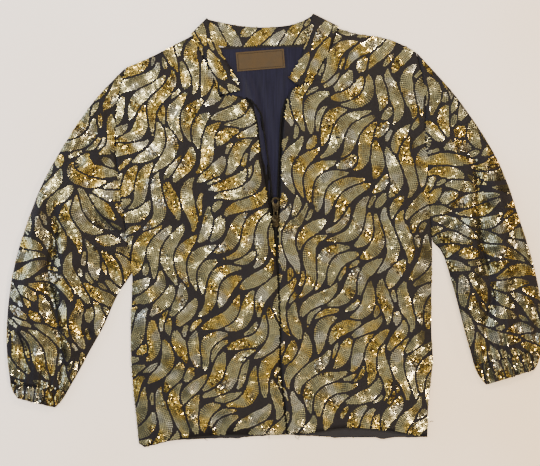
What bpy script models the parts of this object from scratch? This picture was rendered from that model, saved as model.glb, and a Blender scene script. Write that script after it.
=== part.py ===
"""Zip-front jacket of sequined cloth, laid flat on its back: the construction, in metres, +Z up.

+X is the viewer's right and +Y runs from the hem to the collar. The underside rests on Z = 0.
Left and right are the viewer's sides. Tables are in millimetres.
"""
import math
from collections import namedtuple

import bmesh
import bpy
from mathutils import Matrix, Vector

MM = 0.001

# Cloth walls and the heights at which the layers lie on each other
WALL = 2.0                      # sequined cloth with its lining
SEAM_GAP = 0.3                  # clearance between neighbouring pieces
ARMHOLE_GAP = 0.5               # the same at the curved armhole, where chords need more
LINING_WALL = 1.0
SEAM_TOP = 2 * WALL + SEAM_GAP  # top of a front where it meets the back at a side seam
FRONT_TOP = 7.0                 # top of a front where it lies on the other layers
EDGE_REACH = 12.0               # how far from a seam a front takes to rise to FRONT_TOP
ARMHOLE_HEIGHT = 7.8            # outer height of a sleeve where it joins the body
DOME_POWER = 2.6                # 2 is an ellipse, more is boxier
FOLD_ROOM = 8.0                 # how much a sleeve has risen where its folds are full
TAPE_BOTTOM = 3.6
TAPE_WALL = 1.0
TAPE_WIDTH = 12.0
COLLAR_WALL = 2.4

# Mesh densities
FRONT_COLUMNS = 16
ROWS_PER_STATION = 2
SLEEVE_TOP_COLUMNS = 26
SLEEVE_UNDER_COLUMNS = 14
OUTLINE_STEP = 12.0
TANGENT_STEP = 0.006            # share of a curve's length to each side of a tangent

Station = namedtuple("Station", "name left_x left_y right_x right_y corner", defaults=(False,))
Mark = namedtuple("Mark", "name x y corner", defaults=(False,))
Sleeve = namedtuple("Sleeve", "name outer_x outer_y inner_x inner_y height")
Fold = namedtuple("Fold", "name start_x start_y end_x end_y bend height half_width")

# Fronts: where each row starts and ends, from the shoulder down to the hem
LEFT_FRONT = (
    Station("shoulder", -223, 245, -124, 293),
    Station("collar_mid", -233.5, 205, -106, 258.5),
    Station("collar_low", -238, 164, -88, 218),
    Station("collar_end", -238.5, 149, -82.5, 201, True),
    Station("front_top", -238, 134, -50.5, 204.5, True),
    Station("upper_chest", -236.5, 100, -31, 179),
    Station("chest", -230.5, 55, -22, 122),
    Station("lower_chest", -221.5, -5, -12.5, 62),
    Station("underarm", -212.5, -62, -3.4, 5, True),
    Station("waist", -215, -125, 2.3, -73),
    Station("hip", -215.5, -178, 5.8, -146),
    Station("low_hip", -212.5, -230, 4.9, -200),
    Station("above_hem", -208, -271, 10.3, -247),
    Station("hem", -203.5, -317, 15.8, -304),
)
RIGHT_FRONT = (
    Station("shoulder", 95, 304, 212, 268),
    Station("collar_high", 84.5, 275, 219.5, 235),
    Station("collar_mid", 71, 251, 224, 209),
    Station("collar_low", 56, 227, 225.5, 185),
    Station("collar_end", 33.5, 214.5, 225, 167, True),
    Station("front_top", 23, 212, 224.5, 152),
    Station("upper_chest", 15.5, 179, 225.5, 130),
    Station("chest", 11, 122, 228.5, 92),
    Station("lower_chest", 8.8, 62, 231.5, 32),
    Station("underarm", 7, 5, 236, -17, True),
    Station("waist", 8.7, -73, 234.5, -88),
    Station("hip", 12.2, -146, 234.5, -155),
    Station("low_hip", 10.8, -194, 237, -196),
    Station("above_hem", 16.7, -247, 230, -250),
    Station("hem", 22.2, -304, 228.5, -308),
)
UNDERARM_ROW = {"left_front": 8, "right_front": 9}

# Shoulder seams from the viewer's left to right, and the lower edges of the fronts
LEFT_SHOULDER = (Mark("tip", -223, 245), Mark("middle", -185.5, 261), Mark("neck", -124, 293))
RIGHT_SHOULDER = (
    Mark("neck", 95, 304),
    Mark("near_neck", 122, 296),
    Mark("middle", 164, 289.5),
    Mark("near_tip", 194, 278),
    Mark("tip", 212, 268),
)
LEFT_FRONT_HEM = (
    Mark("side", -203.5, -317),
    Mark("corner", -196, -321.5),
    Mark("rise", -150, -311),
    Mark("middle", -84, -304),
    Mark("zip", 15.2, -304),
)
RIGHT_FRONT_HEM = (
    Mark("zip", 22.2, -304),
    Mark("near_zip", 65, -299),
    Mark("highest", 108.5, -293),
    Mark("middle", 168.5, -297.5),
    Mark("side", 228.5, -308),
)

# The back's neckline and hem
BACK_NECK = (
    Mark("left", -124, 293),
    Mark("left_low", -92.5, 277),
    Mark("middle", -13, 278),
    Mark("right_low", 51.5, 281),
    Mark("right", 95, 304),
)
BACK_HEM = (
    Mark("left", -203.5, -317),
    Mark("corner", -196, -323.5),
    Mark("rise", -150, -313),
    Mark("left_middle", -50.5, -308.5),
    Mark("zip", 14, -304.5),
    Mark("right_middle", 102.5, -308.5),
    Mark("right", 228.5, -308),
)

# Turned hem on the inside of the back, between two shares of the hem's length
HEM_START = 0.06
HEM_END = 0.965
HEM_TURNED = 26.0
HEM_COLUMNS = 34

# Sleeves: outer edge, inner edge and height of the flattened tube, from armhole to cuff
LEFT_SLEEVE = (
    Sleeve("armhole", -223, 245, -212.5, -62, 7.8),
    Sleeve("cap", -269.5, 197, -230.5, -88, 11),
    Sleeve("upper_arm", -310, 137, -243, -114, 15),
    Sleeve("above_elbow", -344.5, 77, -251, -134, 18),
    Sleeve("elbow", -367, 20, -260.5, -152, 19),
    Sleeve("below_elbow", -385, -35, -269.5, -168, 19),
    Sleeve("forearm", -395.5, -88, -278.5, -184, 18),
    Sleeve("low_forearm", -400.5, -140, -286.5, -199, 16),
    Sleeve("above_cuff", -400.5, -181, -295, -214, 15),
    Sleeve("cuff", -395.5, -226, -309, -238, 14),
)
RIGHT_SLEEVE = (
    Sleeve("armhole", 212, 268, 236, -17, 7.8),
    Sleeve("cap", 263, 212, 249, -30, 11),
    Sleeve("upper_arm", 296, 167, 257, -52, 15),
    Sleeve("above_elbow", 324.5, 122, 263, -74, 18),
    Sleeve("elbow", 345.5, 77, 269, -95, 19),
    Sleeve("below_elbow", 362, 28, 274.5, -116, 19),
    Sleeve("forearm", 377, -17, 280, -137, 18),
    Sleeve("low_forearm", 390.5, -65, 286, -158, 16),
    Sleeve("above_cuff", 399.5, -118, 291.5, -178, 15),
    Sleeve("cuff", 399.5, -176, 297.5, -199, 14),
)
LEFT_CUFF = (
    Sleeve("seam", -395.5, -226.4, -309, -238.4, 14),
    Sleeve("middle", -392, -238, -317.5, -252, 13),
    Sleeve("mouth", -386, -248.5, -328, -263, 12),
)
RIGHT_CUFF = (
    Sleeve("seam", 399.5, -176.4, 297.5, -199.4, 14),
    Sleeve("middle", 395.5, -192, 305, -216, 13),
    Sleeve("mouth", 389, -206, 315.5, -229, 12),
)

# Gathers where the elastic draws a sleeve in
GATHERS = 7                     # across the face that shows
GATHER_DEPTH = 1.6
GATHER_REACH = 38.0             # how far up the sleeve they run out

# Largest folds: a ridge has a positive height and a trough a negative one
FOLDS = (
    Fold("left_front_ridge", -112, 240, -73, -165, 7, 3.6, 10),
    Fold("left_front_valley", -128, 215, -95, -90, 7, -2.2, 10),
    Fold("left_front_low", -152, -120, -151, -255, 0, 2.4, 10),
    Fold("left_pucker_high", -200, -20, -138, 95, 4, 3.6, 11),
    Fold("left_pucker_low", -186, -60, -110, 20, -3, -2.0, 10),
    Fold("right_front_crease", 45.5, 135, 45.5, -275, 0, -1.8, 9),
    Fold("right_front_middle", 134, -5, 125, -255, 2, 2.4, 10),
    Fold("right_armhole_ridge", 188, 170, 213, -115, -4, 4.2, 14),
    Fold("right_armhole_valley", 165, 150, 180, -60, -4, -1.8, 11),
    Fold("left_sleeve_deep", -338, 45, -322, -222, -5, -8.0, 11),
    Fold("left_sleeve_ridge", -312, 30, -296, -190, -4, 3.0, 14),
    Fold("left_sleeve_radial_low", -232, -30, -292, 60, 8, -4.5, 10),
    Fold("left_sleeve_radial_high", -232, 70, -330, 150, 6, -3.5, 12),
    Fold("left_sleeve_inner", -262, -70, -290, -190, 6, -3.5, 10),
    Fold("right_sleeve_deep", 292, 130, 315, -155, 10, -8.0, 11),
    Fold("right_sleeve_ridge", 318, 100, 342, -150, 8, 3.0, 14),
    Fold("right_sleeve_radial_low", 250, -12, 300, 50, -6, -4.5, 10),
    Fold("right_sleeve_radial_high", 238, 95, 322, 125, 5, -3.5, 12),
    Fold("right_sleeve_inner", 268, -55, 296, -160, -4, -3.5, 9),
)

# Stand collar: its free edge in front of the neck on the left, behind it, and in front on the right.
# Its seam edge follows the necklines of the fronts and the back.
COLLAR_LEFT = (
    Mark("end", -52, 209),
    Mark("low", -56.5, 229),
    Mark("high", -80.5, 269),
    Mark("tip", -99.5, 317.5),
)
COLLAR_BACK = (
    Mark("left_tip", -99.5, 317.5),
    Mark("left", -80, 313),
    Mark("left_middle", -46, 307),
    Mark("middle", -13, 305.5),
    Mark("right_middle", 18, 308),
    Mark("right", 40, 313),
    Mark("right_tip", 56, 323.5),
)
COLLAR_RIGHT = (
    Mark("tip", 56, 323.5),
    Mark("high", 49.5, 299),
    Mark("middle", 43.5, 272),
    Mark("low", 34.5, 251),
    Mark("end", 20, 229),
)
COLLAR_END_ROW = {"left_front": 3, "right_front": 4}
COLLAR_GAP = 0.5
COLLAR_COLUMNS = 4
COLLAR_ROWS = 7
FOLD_STEPS = 6

# Lining that the neck and the V opening show
LINING = (
    Mark("neck_left", -88, 272, True),
    Mark("neck_middle", -13, 275.5),
    Mark("neck_right", 58, 276, True),
    Mark("right_chest", 48, 205),
    Mark("right_low", 26, 110),
    Mark("bottom_right", 20, 29, True),
    Mark("bottom_left", -28, 29, True),
    Mark("left_low", -40, 110),
    Mark("left_chest", -80, 200),
)
LABEL_CENTRE = (-21.4, 256.5)
LABEL_SIZE = (72.0, 28.5)
LABEL_WALL = 0.8
LABEL_TURN = 4.6                # degrees

# Zip: the inner edge of each tape from the neck down, the coil beside it, and the closed chain
LEFT_TAPE = (
    Mark("top", -42, 201),
    Mark("upper_chest", -23, 178),
    Mark("middle_chest", -17.5, 150),
    Mark("chest", -13.5, 122),
    Mark("lower_chest", -8.5, 85),
    Mark("above_pull", -5.2, 52),
    Mark("slider", -2.2, 22),
    Mark("under_slider", -1.3, 5),
    Mark("waist", 2.6, -73),
    Mark("hip", 6.1, -146),
    Mark("low_hip", 4.8, -194),
    Mark("above_hem", 10.6, -247),
    Mark("hem", 16.0, -302),
)
RIGHT_TAPE = (
    Mark("top", 19.5, 203),
    Mark("upper_chest", 12.3, 178),
    Mark("middle_chest", 9.6, 150),
    Mark("chest", 8.4, 122),
    Mark("lower_chest", 6.6, 85),
    Mark("above_pull", 5.6, 52),
    Mark("slider", 4.8, 22),
    Mark("under_slider", 4.5, 5),
    Mark("waist", 8.4, -73),
    Mark("hip", 11.9, -146),
    Mark("low_hip", 10.6, -194),
    Mark("above_hem", 16.4, -247),
    Mark("hem", 21.8, -302),
)
COIL_WIDTH = 1.9
COIL_WALL = 1.5
CHAIN_WIDTH = 5.0
CHAIN_START = 0.008             # share of a tape between its slider mark and the top of the chain
TAPE_ROWS = 26
SLIDER_MARK = 6                 # the mark of each tape where the slider sits
OPEN_END = 0.98                 # share of the open stretch that its coil covers

# Slider and pull tab
SLIDER_X = 1.3
SLIDER_TOP_Y = 25.0
SLIDER_LENGTH = 18.0
SLIDER_TOP_WIDTH = 11.6
SLIDER_END_WIDTH = 8.6
SLIDER_END_CUT = 1.5            # cut corners of the plates
SLIDER_TOP_CUT = 2.5
SLIDER_FLARE_START = 7.0        # where the plates widen, from the closed end
SLIDER_FLARE_END = 11.0
LOWER_PLATE = (2.3, 2.8)        # bottom and top of the plate under the chain
UPPER_PLATE = (5.4, 6.8)
JOIN_OVERLAP = 0.4              # how far the slider's pieces reach into each other
POST_WIDTH = 1.8
POST_LENGTH = 4.0
ARCH_WIDTH = 2.4
ARCH_THICKNESS = 1.2
ARCH_LENGTH = 8.2
ARCH_FRONT = 1.9                # from the hinge's axis to the arch's front leg
ARCH_TOP = 10.7
HINGE_Y = 20.6
HINGE_Z = 8.1
PULL_WALL = 1.6
PULL_EYE_CLEARANCE = 0.4
PULL_BAR = 1.6
PULL_EYE_LENGTH = 8.6
PULL_NECK_WIDTH = 7.6
PULL_NECK_LENGTH = 11.6
PULL_WIDTH = 12.4
PULL_RING_Y = 45.1
PULL_RING_SPAN = (-20.0, 200.0) # degrees of the round end that the neck leaves free
PULL_HOLE = 6.6
ROUND_STEPS = 24

CLOTH = {
    "sequined_cloth": ((0.45, 0.36, 0.17), 0.35, 0.7),
    "navy_satin": ((0.035, 0.035, 0.075), 0.45, 0.0),
    "black_cloth": ((0.02, 0.02, 0.024), 0.8, 0.0),
    "tan_label": ((0.42, 0.24, 0.11), 0.75, 0.0),
    "antique_brass": ((0.30, 0.22, 0.10), 0.42, 1.0),
}


class Curve:
    """A smooth line through marked points, broken at its corners."""

    STEPS = 16

    def __init__(self, points, corners=()):
        self.points = [Vector(point) for point in points]
        self.corners = {0, len(self.points) - 1} | set(corners)
        self.samples = [self.knot(i / self.STEPS) for i in range((len(self.points) - 1) * self.STEPS + 1)]
        self.lengths = [0.0]
        for before, after in zip(self.samples, self.samples[1:]):
            self.lengths.append(self.lengths[-1] + (after - before).length)

    def slope(self, index):
        """Tangent at a point, as the chord between its neighbours."""
        after = self.points[min(index + 1, len(self.points) - 1)]
        before = self.points[max(index - 1, 0)]
        return (after - before) * 0.5

    def knot(self, index):
        """Point at a fractional place in the list of points."""
        low = min(int(index), len(self.points) - 2)
        t = index - low
        start, end = self.points[low], self.points[low + 1]
        chord = end - start
        leave = chord if low in self.corners else self.slope(low)
        arrive = chord if low + 1 in self.corners else self.slope(low + 1)
        return (
            start * (2 * t**3 - 3 * t**2 + 1)
            + leave * (t**3 - 2 * t**2 + t)
            + end * (3 * t**2 - 2 * t**3)
            + arrive * (t**3 - t**2)
        )

    def at(self, fraction):
        """Point at a fraction of the length."""
        wanted = fraction * self.lengths[-1]
        for i in range(1, len(self.samples)):
            if self.lengths[i] >= wanted:
                span = self.lengths[i] - self.lengths[i - 1]
                t = (wanted - self.lengths[i - 1]) / span if span > 0 else 0.0
                return self.samples[i - 1].lerp(self.samples[i], t)
        return self.samples[-1].copy()

    def spaced(self, step):
        """Points about one step apart, both ends included."""
        count = max(1, round(self.lengths[-1] / step))
        return [self.at(i / count) for i in range(count + 1)]


def marked_curve(marks):
    """Curve through a table of marks."""
    corners = [i for i, mark in enumerate(marks) if mark.corner]
    return Curve([(mark.x, mark.y) for mark in marks], corners)


def side_curves(stations):
    """Left and right edges of a table of stations."""
    corners = [i for i, station in enumerate(stations) if station.corner]
    left = Curve([(s.left_x, s.left_y) for s in stations], corners)
    right = Curve([(s.right_x, s.right_y) for s in stations], corners)
    return left, right


def patch_point(u, start, end, left, right, left_point, right_point):
    """Blend of four edges: start and end are where the column meets the first and last rows."""
    def blend(v):
        across = left_point.lerp(right_point, u)
        along = start.lerp(end, v)
        corners = left[0].lerp(right[0], u).lerp(left[1].lerp(right[1], u), v)
        return across + along - corners
    return blend


def dome(u):
    """Rise across a flattened tube: 0 at both edges and 1 in the middle."""
    reach = min(1.0, abs(2 * u - 1))
    return (1 - reach**DOME_POWER) ** (1 / DOME_POWER)


def settle(distance):
    """Share of the full height that cloth has reached at a distance from a seam."""
    return 1 - math.exp(-max(0.0, distance) / EDGE_REACH)


def fold_height(x, y):
    """Height that the folds add at a place on the upper faces."""
    total = 0.0
    for fold in FOLDS:
        along_x, along_y = fold.end_x - fold.start_x, fold.end_y - fold.start_y
        length = math.hypot(along_x, along_y)
        along_x, along_y = along_x / length, along_y / length
        t = ((x - fold.start_x) * along_x + (y - fold.start_y) * along_y) / length
        if 0 < t < 1:
            taper = math.sqrt(4 * t * (1 - t))
            off_line = (x - fold.start_x) * along_y - (y - fold.start_y) * along_x
            off_line += fold.bend * 4 * t * (1 - t)
            total += fold.height * taper * math.exp(-((off_line / fold.half_width) ** 2))
    return total


def grid_mesh(columns, rows, place):
    """Grid of faces whose points are put where place(u, v) says, in millimetres."""
    mesh = bmesh.new()
    bmesh.ops.create_grid(mesh, x_segments=columns, y_segments=rows, size=0.5)
    for vertex in mesh.verts:
        vertex.co = Vector(place(vertex.co.x + 0.5, vertex.co.y + 0.5)) * MM
    return mesh


def close_below(mesh, thickness):
    """Give a sheet a plain lower face straight below its upper one."""
    bmesh.ops.recalc_face_normals(mesh, faces=mesh.faces)
    grown = bmesh.ops.extrude_face_region(mesh, geom=mesh.faces[:], use_keep_orig=True)
    lower = [item for item in grown["geom"] if isinstance(item, bmesh.types.BMVert)]
    bmesh.ops.translate(mesh, verts=lower, vec=(0, 0, -thickness * MM))
    bmesh.ops.recalc_face_normals(mesh, faces=mesh.faces)


def material(name):
    """Plain material of the named kind."""
    found = bpy.data.materials.get(name)
    if found:
        return found
    colour, roughness, metallic = CLOTH[name]
    made = bpy.data.materials.new(name)
    made.use_nodes = True
    shader = made.node_tree.nodes["Principled BSDF"]
    shader.inputs["Base Color"].default_value = (*colour, 1.0)
    shader.inputs["Roughness"].default_value = roughness
    shader.inputs["Metallic"].default_value = metallic
    return made


def finish(mesh, name, kind, smooth=True):
    """Put a mesh into the scene as one named object."""
    data = bpy.data.meshes.new(name)
    mesh.to_mesh(data)
    mesh.free()
    data.materials.append(material(kind))
    if smooth:
        data.shade_smooth()
        data.set_sharp_from_angle(angle=math.radians(50))
    made = bpy.data.objects.new(name, data)
    bpy.context.scene.collection.objects.link(made)
    return made


def build_front(name, stations, shoulder_marks, hem_marks, side):
    """One front: side is the u of its side seam, 0 for the left front and 1 for the right."""
    left, right = side_curves(stations)
    shoulder, hem = marked_curve(shoulder_marks), marked_curve(hem_marks)
    corners_left = (left.points[0], left.points[-1])
    corners_right = (right.points[0], right.points[-1])
    last = len(stations) - 1
    underarm = UNDERARM_ROW[name]
    outer = left if side == 0 else right
    armhole_length = outer.lengths[underarm * Curve.STEPS]

    def place(u, v):
        v = 1 - v
        left_point, right_point = left.knot(v * last), right.knot(v * last)
        blend = patch_point(u, shoulder.at(u), hem.at(u), corners_left, corners_right, left_point, right_point)
        flat = blend(v)
        to_side = (flat - (left_point if side == 0 else right_point)).length
        to_shoulder = (flat - shoulder.at(u)).length
        height = SEAM_TOP + (FRONT_TOP - SEAM_TOP) * settle(to_side) * settle(to_shoulder)
        passed = outer.lengths[min(round(v * last * Curve.STEPS), len(outer.lengths) - 1)]
        if passed < armhole_length:
            raised = ARMHOLE_HEIGHT / 2 * (1 + dome(passed / armhole_length)) - SEAM_TOP
            height += max(0.0, raised) * math.exp(-to_side / EDGE_REACH)
        to_zip = (flat - (right_point if side == 0 else left_point)).length
        free = settle(to_side / 2) * settle(to_shoulder / 2) * settle(to_zip)
        return flat.x, flat.y, height + fold_height(flat.x, flat.y) * free

    mesh = grid_mesh(FRONT_COLUMNS, last * ROWS_PER_STATION, place)
    close_below(mesh, WALL)
    return finish(mesh, name, "sequined_cloth")


def body_outline():
    """Outline of the back, round from the left of the neck."""
    left_side, _ = side_curves(LEFT_FRONT)
    _, right_side = side_curves(RIGHT_FRONT)
    outline = list(reversed(marked_curve(LEFT_SHOULDER).spaced(OUTLINE_STEP)))
    outline += left_side.spaced(OUTLINE_STEP)[1:]
    outline += marked_curve(BACK_HEM).spaced(OUTLINE_STEP)[1:]
    outline += list(reversed(right_side.spaced(OUTLINE_STEP)))[1:]
    outline += list(reversed(marked_curve(RIGHT_SHOULDER).spaced(OUTLINE_STEP)))[1:]
    outline += list(reversed(marked_curve(BACK_NECK).spaced(OUTLINE_STEP)))[1:-1]
    return outline


def slab(outline, bottom, thickness):
    """Flat piece of cloth of a given outline."""
    mesh = bmesh.new()
    corners = [mesh.verts.new((point.x * MM, point.y * MM, (bottom + thickness) * MM)) for point in outline]
    mesh.faces.new(corners)
    close_below(mesh, thickness)
    return mesh


def build_back():
    """Back panel, flat on the surface that the jacket lies on."""
    return finish(slab(body_outline(), 0.0, WALL), "back", "sequined_cloth", smooth=False)


def build_back_lining():
    """Lining where the neck and the V opening show it."""
    closed = LINING + (LINING[0],)
    outline = marked_curve(closed).spaced(OUTLINE_STEP)[:-1]
    return finish(slab(outline, WALL + SEAM_GAP, LINING_WALL), "back_lining", "navy_satin", smooth=False)


def build_hem_facing():
    """Plain turned hem on the inside of the back, which shows below the fronts."""
    hem = marked_curve(BACK_HEM)

    def place(u, v):
        low = hem.at(HEM_START + (HEM_END - HEM_START) * u)
        return low.x, low.y + SEAM_GAP + HEM_TURNED * v, WALL + SEAM_GAP + LINING_WALL

    mesh = grid_mesh(HEM_COLUMNS, 1, place)
    close_below(mesh, LINING_WALL)
    return finish(mesh, "hem_facing", "black_cloth", smooth=False)


def tube_wall(name, stations, armhole=None, gathered=0.0):
    """Flattened tube of cloth with an open hollow, from a table of stations.

    The grid runs round the tube in u, and in v along its outside and back along its inside.
    """
    outer = Curve([(s.outer_x, s.outer_y) for s in stations])
    inner = Curve([(s.inner_x, s.inner_y) for s in stations])
    heights = Curve([(i, s.height) for i, s in enumerate(stations)])
    last = len(stations) - 1
    rows = last * ROWS_PER_STATION
    around = SLEEVE_TOP_COLUMNS + SLEEVE_UNDER_COLUMNS
    ends = ((outer.points[0], outer.points[-1]), (inner.points[0], inner.points[-1]))
    length = (outer.lengths[-1] + inner.lengths[-1]) / 2

    def across(u, v):
        outer_point, inner_point = outer.knot(v * last), inner.knot(v * last)
        start = armhole(u) if armhole else ends[0][0].lerp(ends[1][0], u)
        end = ends[0][1].lerp(ends[1][1], u)
        blend = patch_point(u, start, end, ends[0], ends[1], outer_point, inner_point)
        return blend(v), (inner_point - outer_point).length

    def place(ring, loop):
        step = round(ring * around) % around
        on_top = step <= SLEEVE_TOP_COLUMNS
        if on_top:
            u = (1 - math.cos(math.pi * step / SLEEVE_TOP_COLUMNS)) / 2
        else:
            u = (1 + math.cos(math.pi * (step - SLEEVE_TOP_COLUMNS) / SLEEVE_UNDER_COLUMNS)) / 2
        row = round(loop * (2 * rows + 2)) % (2 * rows + 2)
        inside = row > rows
        v = (2 * rows + 1 - row if inside else row) / rows
        height = heights.knot(v * last).y
        inset = WALL if inside else 0.0
        flat, width = across(u, v)
        if inside:
            flat, _ = across(0.5 + (u - 0.5) * (1 - 2 * inset / width), v)
        rise = height / 2 - inset
        if not on_top:
            edge = max(0.0, 1 - min(u, 1 - u) * width / (height / 2))
            return flat.x, flat.y, height / 2 - rise * math.sqrt(1 - edge * edge)
        free = dome(u) ** 2 * min(1.0, max(0.0, (height - ARMHOLE_HEIGHT) / FOLD_ROOM))
        gather = math.exp(-(1 - v) * length / GATHER_REACH) if armhole else gathered
        wave = GATHER_DEPTH * gather * dome(u) * math.sin(2 * math.pi * GATHERS * u)
        fold = fold_height(flat.x, flat.y) * free
        return flat.x, flat.y, height / 2 + rise * dome(u) + fold + wave

    mesh = grid_mesh(around, 2 * rows + 2, place)
    bmesh.ops.remove_doubles(mesh, verts=mesh.verts, dist=0.00001)
    bmesh.ops.recalc_face_normals(mesh, faces=mesh.faces)
    return finish(mesh, name, "sequined_cloth")


def tangent(curve, fraction):
    """Direction of a curve at a fraction of its length."""
    after = curve.at(min(1.0, fraction + TANGENT_STEP))
    return (after - curve.at(max(0.0, fraction - TANGENT_STEP))).normalized()


def armhole_edge(curve, underarm, outward):
    """Seam line of an armhole from the shoulder tip to the underarm, moved clear of the body."""
    seam = Curve(curve.points[: underarm + 1], [i for i in curve.corners if i < underarm])

    def point(u):
        along = tangent(seam, u)
        return seam.at(u) + Vector((along.y, -along.x)) * outward * ARMHOLE_GAP

    return point


def build_sleeves():
    """Both sleeves and their cuffs."""
    left_side, _ = side_curves(LEFT_FRONT)
    _, right_side = side_curves(RIGHT_FRONT)
    left_seam = armhole_edge(left_side, UNDERARM_ROW["left_front"], 1)
    right_seam = armhole_edge(right_side, UNDERARM_ROW["right_front"], -1)
    tube_wall("left_sleeve", LEFT_SLEEVE, armhole=left_seam)
    tube_wall("right_sleeve", RIGHT_SLEEVE, armhole=right_seam)
    tube_wall("left_cuff", LEFT_CUFF, gathered=1.0)
    tube_wall("right_cuff", RIGHT_CUFF, gathered=1.0)


def collar_part(seam, edge, height, first=0.0, last=1.0):
    """Rows of the collar between two fractions of a neckline and of the free edge beside it."""
    fractions = [first + (last - first) * i / COLLAR_ROWS for i in range(COLLAR_ROWS + 1)]
    return [(seam.at(fraction), edge.at(fraction), height) for fraction in fractions]


def collar_turn(seam, edge, outward_sign, low, high, rising):
    """Rows of a turn at the side of the neck, where the band folds over on itself."""
    line = (edge - seam).normalized()
    outward = Vector((-line.y, line.x)) * outward_sign
    radius = (high - low) / 2
    rows = []
    for step in range(1, FOLD_STEPS):
        angle = math.pi * (step / FOLD_STEPS - 0.5)
        rise = radius * math.sin(angle) * (1 if rising else -1)
        shift = outward * radius * math.cos(angle)
        rows.append((seam + shift, edge + shift, low + radius + rise))
    return rows


def collar_rows():
    """Seam point, edge point and height of each row, from the left front end to the right one."""
    _, left_neck = side_curves(LEFT_FRONT)
    right_neck, _ = side_curves(RIGHT_FRONT)
    left_seam = Curve(list(reversed(left_neck.points[: COLLAR_END_ROW["left_front"] + 1])))
    right_seam = Curve(right_neck.points[: COLLAR_END_ROW["right_front"] + 1])
    back_seam = marked_curve(BACK_NECK)
    left, behind, right = marked_curve(COLLAR_LEFT), marked_curve(COLLAR_BACK), marked_curve(COLLAR_RIGHT)
    low, high = COLLAR_WALL / 2, FRONT_TOP - COLLAR_WALL / 2
    rows = collar_part(left_seam, left, high, first=0.02)
    rows += collar_turn(left_seam.at(1), left.at(1), 1, low, high, rising=False)
    rows += collar_part(back_seam, behind, low)
    rows += collar_turn(right_seam.at(0), right.at(0), -1, low, high, rising=True)
    rows += collar_part(right_seam, right, high, last=0.98)
    return rows


def build_collar():
    """Stand collar: one band of cloth that turns over at each side of the neck."""
    rows = collar_rows()

    def place(u, v):
        seam, edge, height = rows[round(v * (len(rows) - 1))]
        inset = COLLAR_GAP / (edge - seam).length
        flat = seam.lerp(edge, inset + (1 - inset) * u)
        return flat.x, flat.y, height

    mesh = grid_mesh(COLLAR_COLUMNS, len(rows) - 1, place)
    collar = finish(mesh, "collar", "sequined_cloth")
    wall = collar.modifiers.new("wall", "SOLIDIFY")
    wall.thickness = COLLAR_WALL * MM
    wall.offset = 0.0
    return collar


def build_label():
    """Neck label, bare."""
    width, height = LABEL_SIZE
    turn = Matrix.Rotation(math.radians(LABEL_TURN), 2)
    centre = Vector(LABEL_CENTRE)
    corners = ((-0.5, -0.5), (0.5, -0.5), (0.5, 0.5), (-0.5, 0.5))
    outline = [centre + turn @ Vector((x * width, y * height)) for x, y in corners]
    bottom = WALL + LINING_WALL + 2 * SEAM_GAP
    return finish(slab(outline, bottom, LABEL_WALL), "neck_label", "tan_label", smooth=False)


def strip(name, kind, curve, first, last, near, far, bottom, thickness):
    """Strip of tape or coil beside a curve, between two distances to its side."""
    def place(u, v):
        fraction = first + (last - first) * v
        along = tangent(curve, fraction)
        flat = curve.at(fraction) + Vector((along.y, -along.x)) * (near + (far - near) * u)
        return flat.x, flat.y, bottom + thickness

    mesh = grid_mesh(1, TAPE_ROWS, place)
    close_below(mesh, thickness)
    return finish(mesh, name, kind, smooth=False)


def build_zip_tapes():
    """Tapes under the edges of the fronts, the coils on them and the closed chain."""
    left, right = marked_curve(LEFT_TAPE), marked_curve(RIGHT_TAPE)
    strip("zip_tape_left", "black_cloth", left, 0, 1, 0, TAPE_WIDTH, TAPE_BOTTOM, TAPE_WALL)
    strip("zip_tape_right", "black_cloth", right, 0, 1, 0, -TAPE_WIDTH, TAPE_BOTTOM, TAPE_WALL)
    for name, tape, side in (("zip_coil_left", left, -1), ("zip_coil_right", right, 1)):
        end = tape.lengths[SLIDER_MARK * Curve.STEPS] / tape.lengths[-1] * OPEN_END
        near, far = side * SEAM_GAP, side * (SEAM_GAP + COIL_WIDTH)
        strip(name, "black_cloth", tape, 0.01, end, near, far, TAPE_BOTTOM, COIL_WALL)
    middle = Curve([(a + b) / 2 for a, b in zip(left.points, right.points)])
    start = middle.lengths[SLIDER_MARK * Curve.STEPS] / middle.lengths[-1] + CHAIN_START
    half = CHAIN_WIDTH / 2
    strip("zip_chain", "black_cloth", middle, start, 1, -half, half, TAPE_BOTTOM, COIL_WALL)


def plate(outline, bottom, top):
    """Solid of an outline between two heights."""
    return slab(outline, bottom, top - bottom)


def slider_outline():
    """Plan of the slider's plates, wide where the open coils enter."""
    half_top, half_end = SLIDER_TOP_WIDTH / 2, SLIDER_END_WIDTH / 2
    end_y = SLIDER_TOP_Y - SLIDER_LENGTH
    right_half = (
        (half_end - SLIDER_END_CUT, end_y),
        (half_end, end_y + SLIDER_END_CUT),
        (half_end, end_y + SLIDER_FLARE_START),
        (half_top, end_y + SLIDER_FLARE_END),
        (half_top, SLIDER_TOP_Y - SLIDER_TOP_CUT),
        (half_top - SLIDER_TOP_CUT, SLIDER_TOP_Y),
    )
    left_half = [(-x, y) for x, y in reversed(right_half)]
    return [Vector((SLIDER_X + x, y)) for x, y in (*right_half, *left_half)]


def middle_box(width, y_low, y_high):
    """Corners of a rectangle on the slider's middle line."""
    left, right = SLIDER_X - width / 2, SLIDER_X + width / 2
    return [Vector((left, y_low)), Vector((right, y_low)), Vector((right, y_high)), Vector((left, y_high))]


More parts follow.
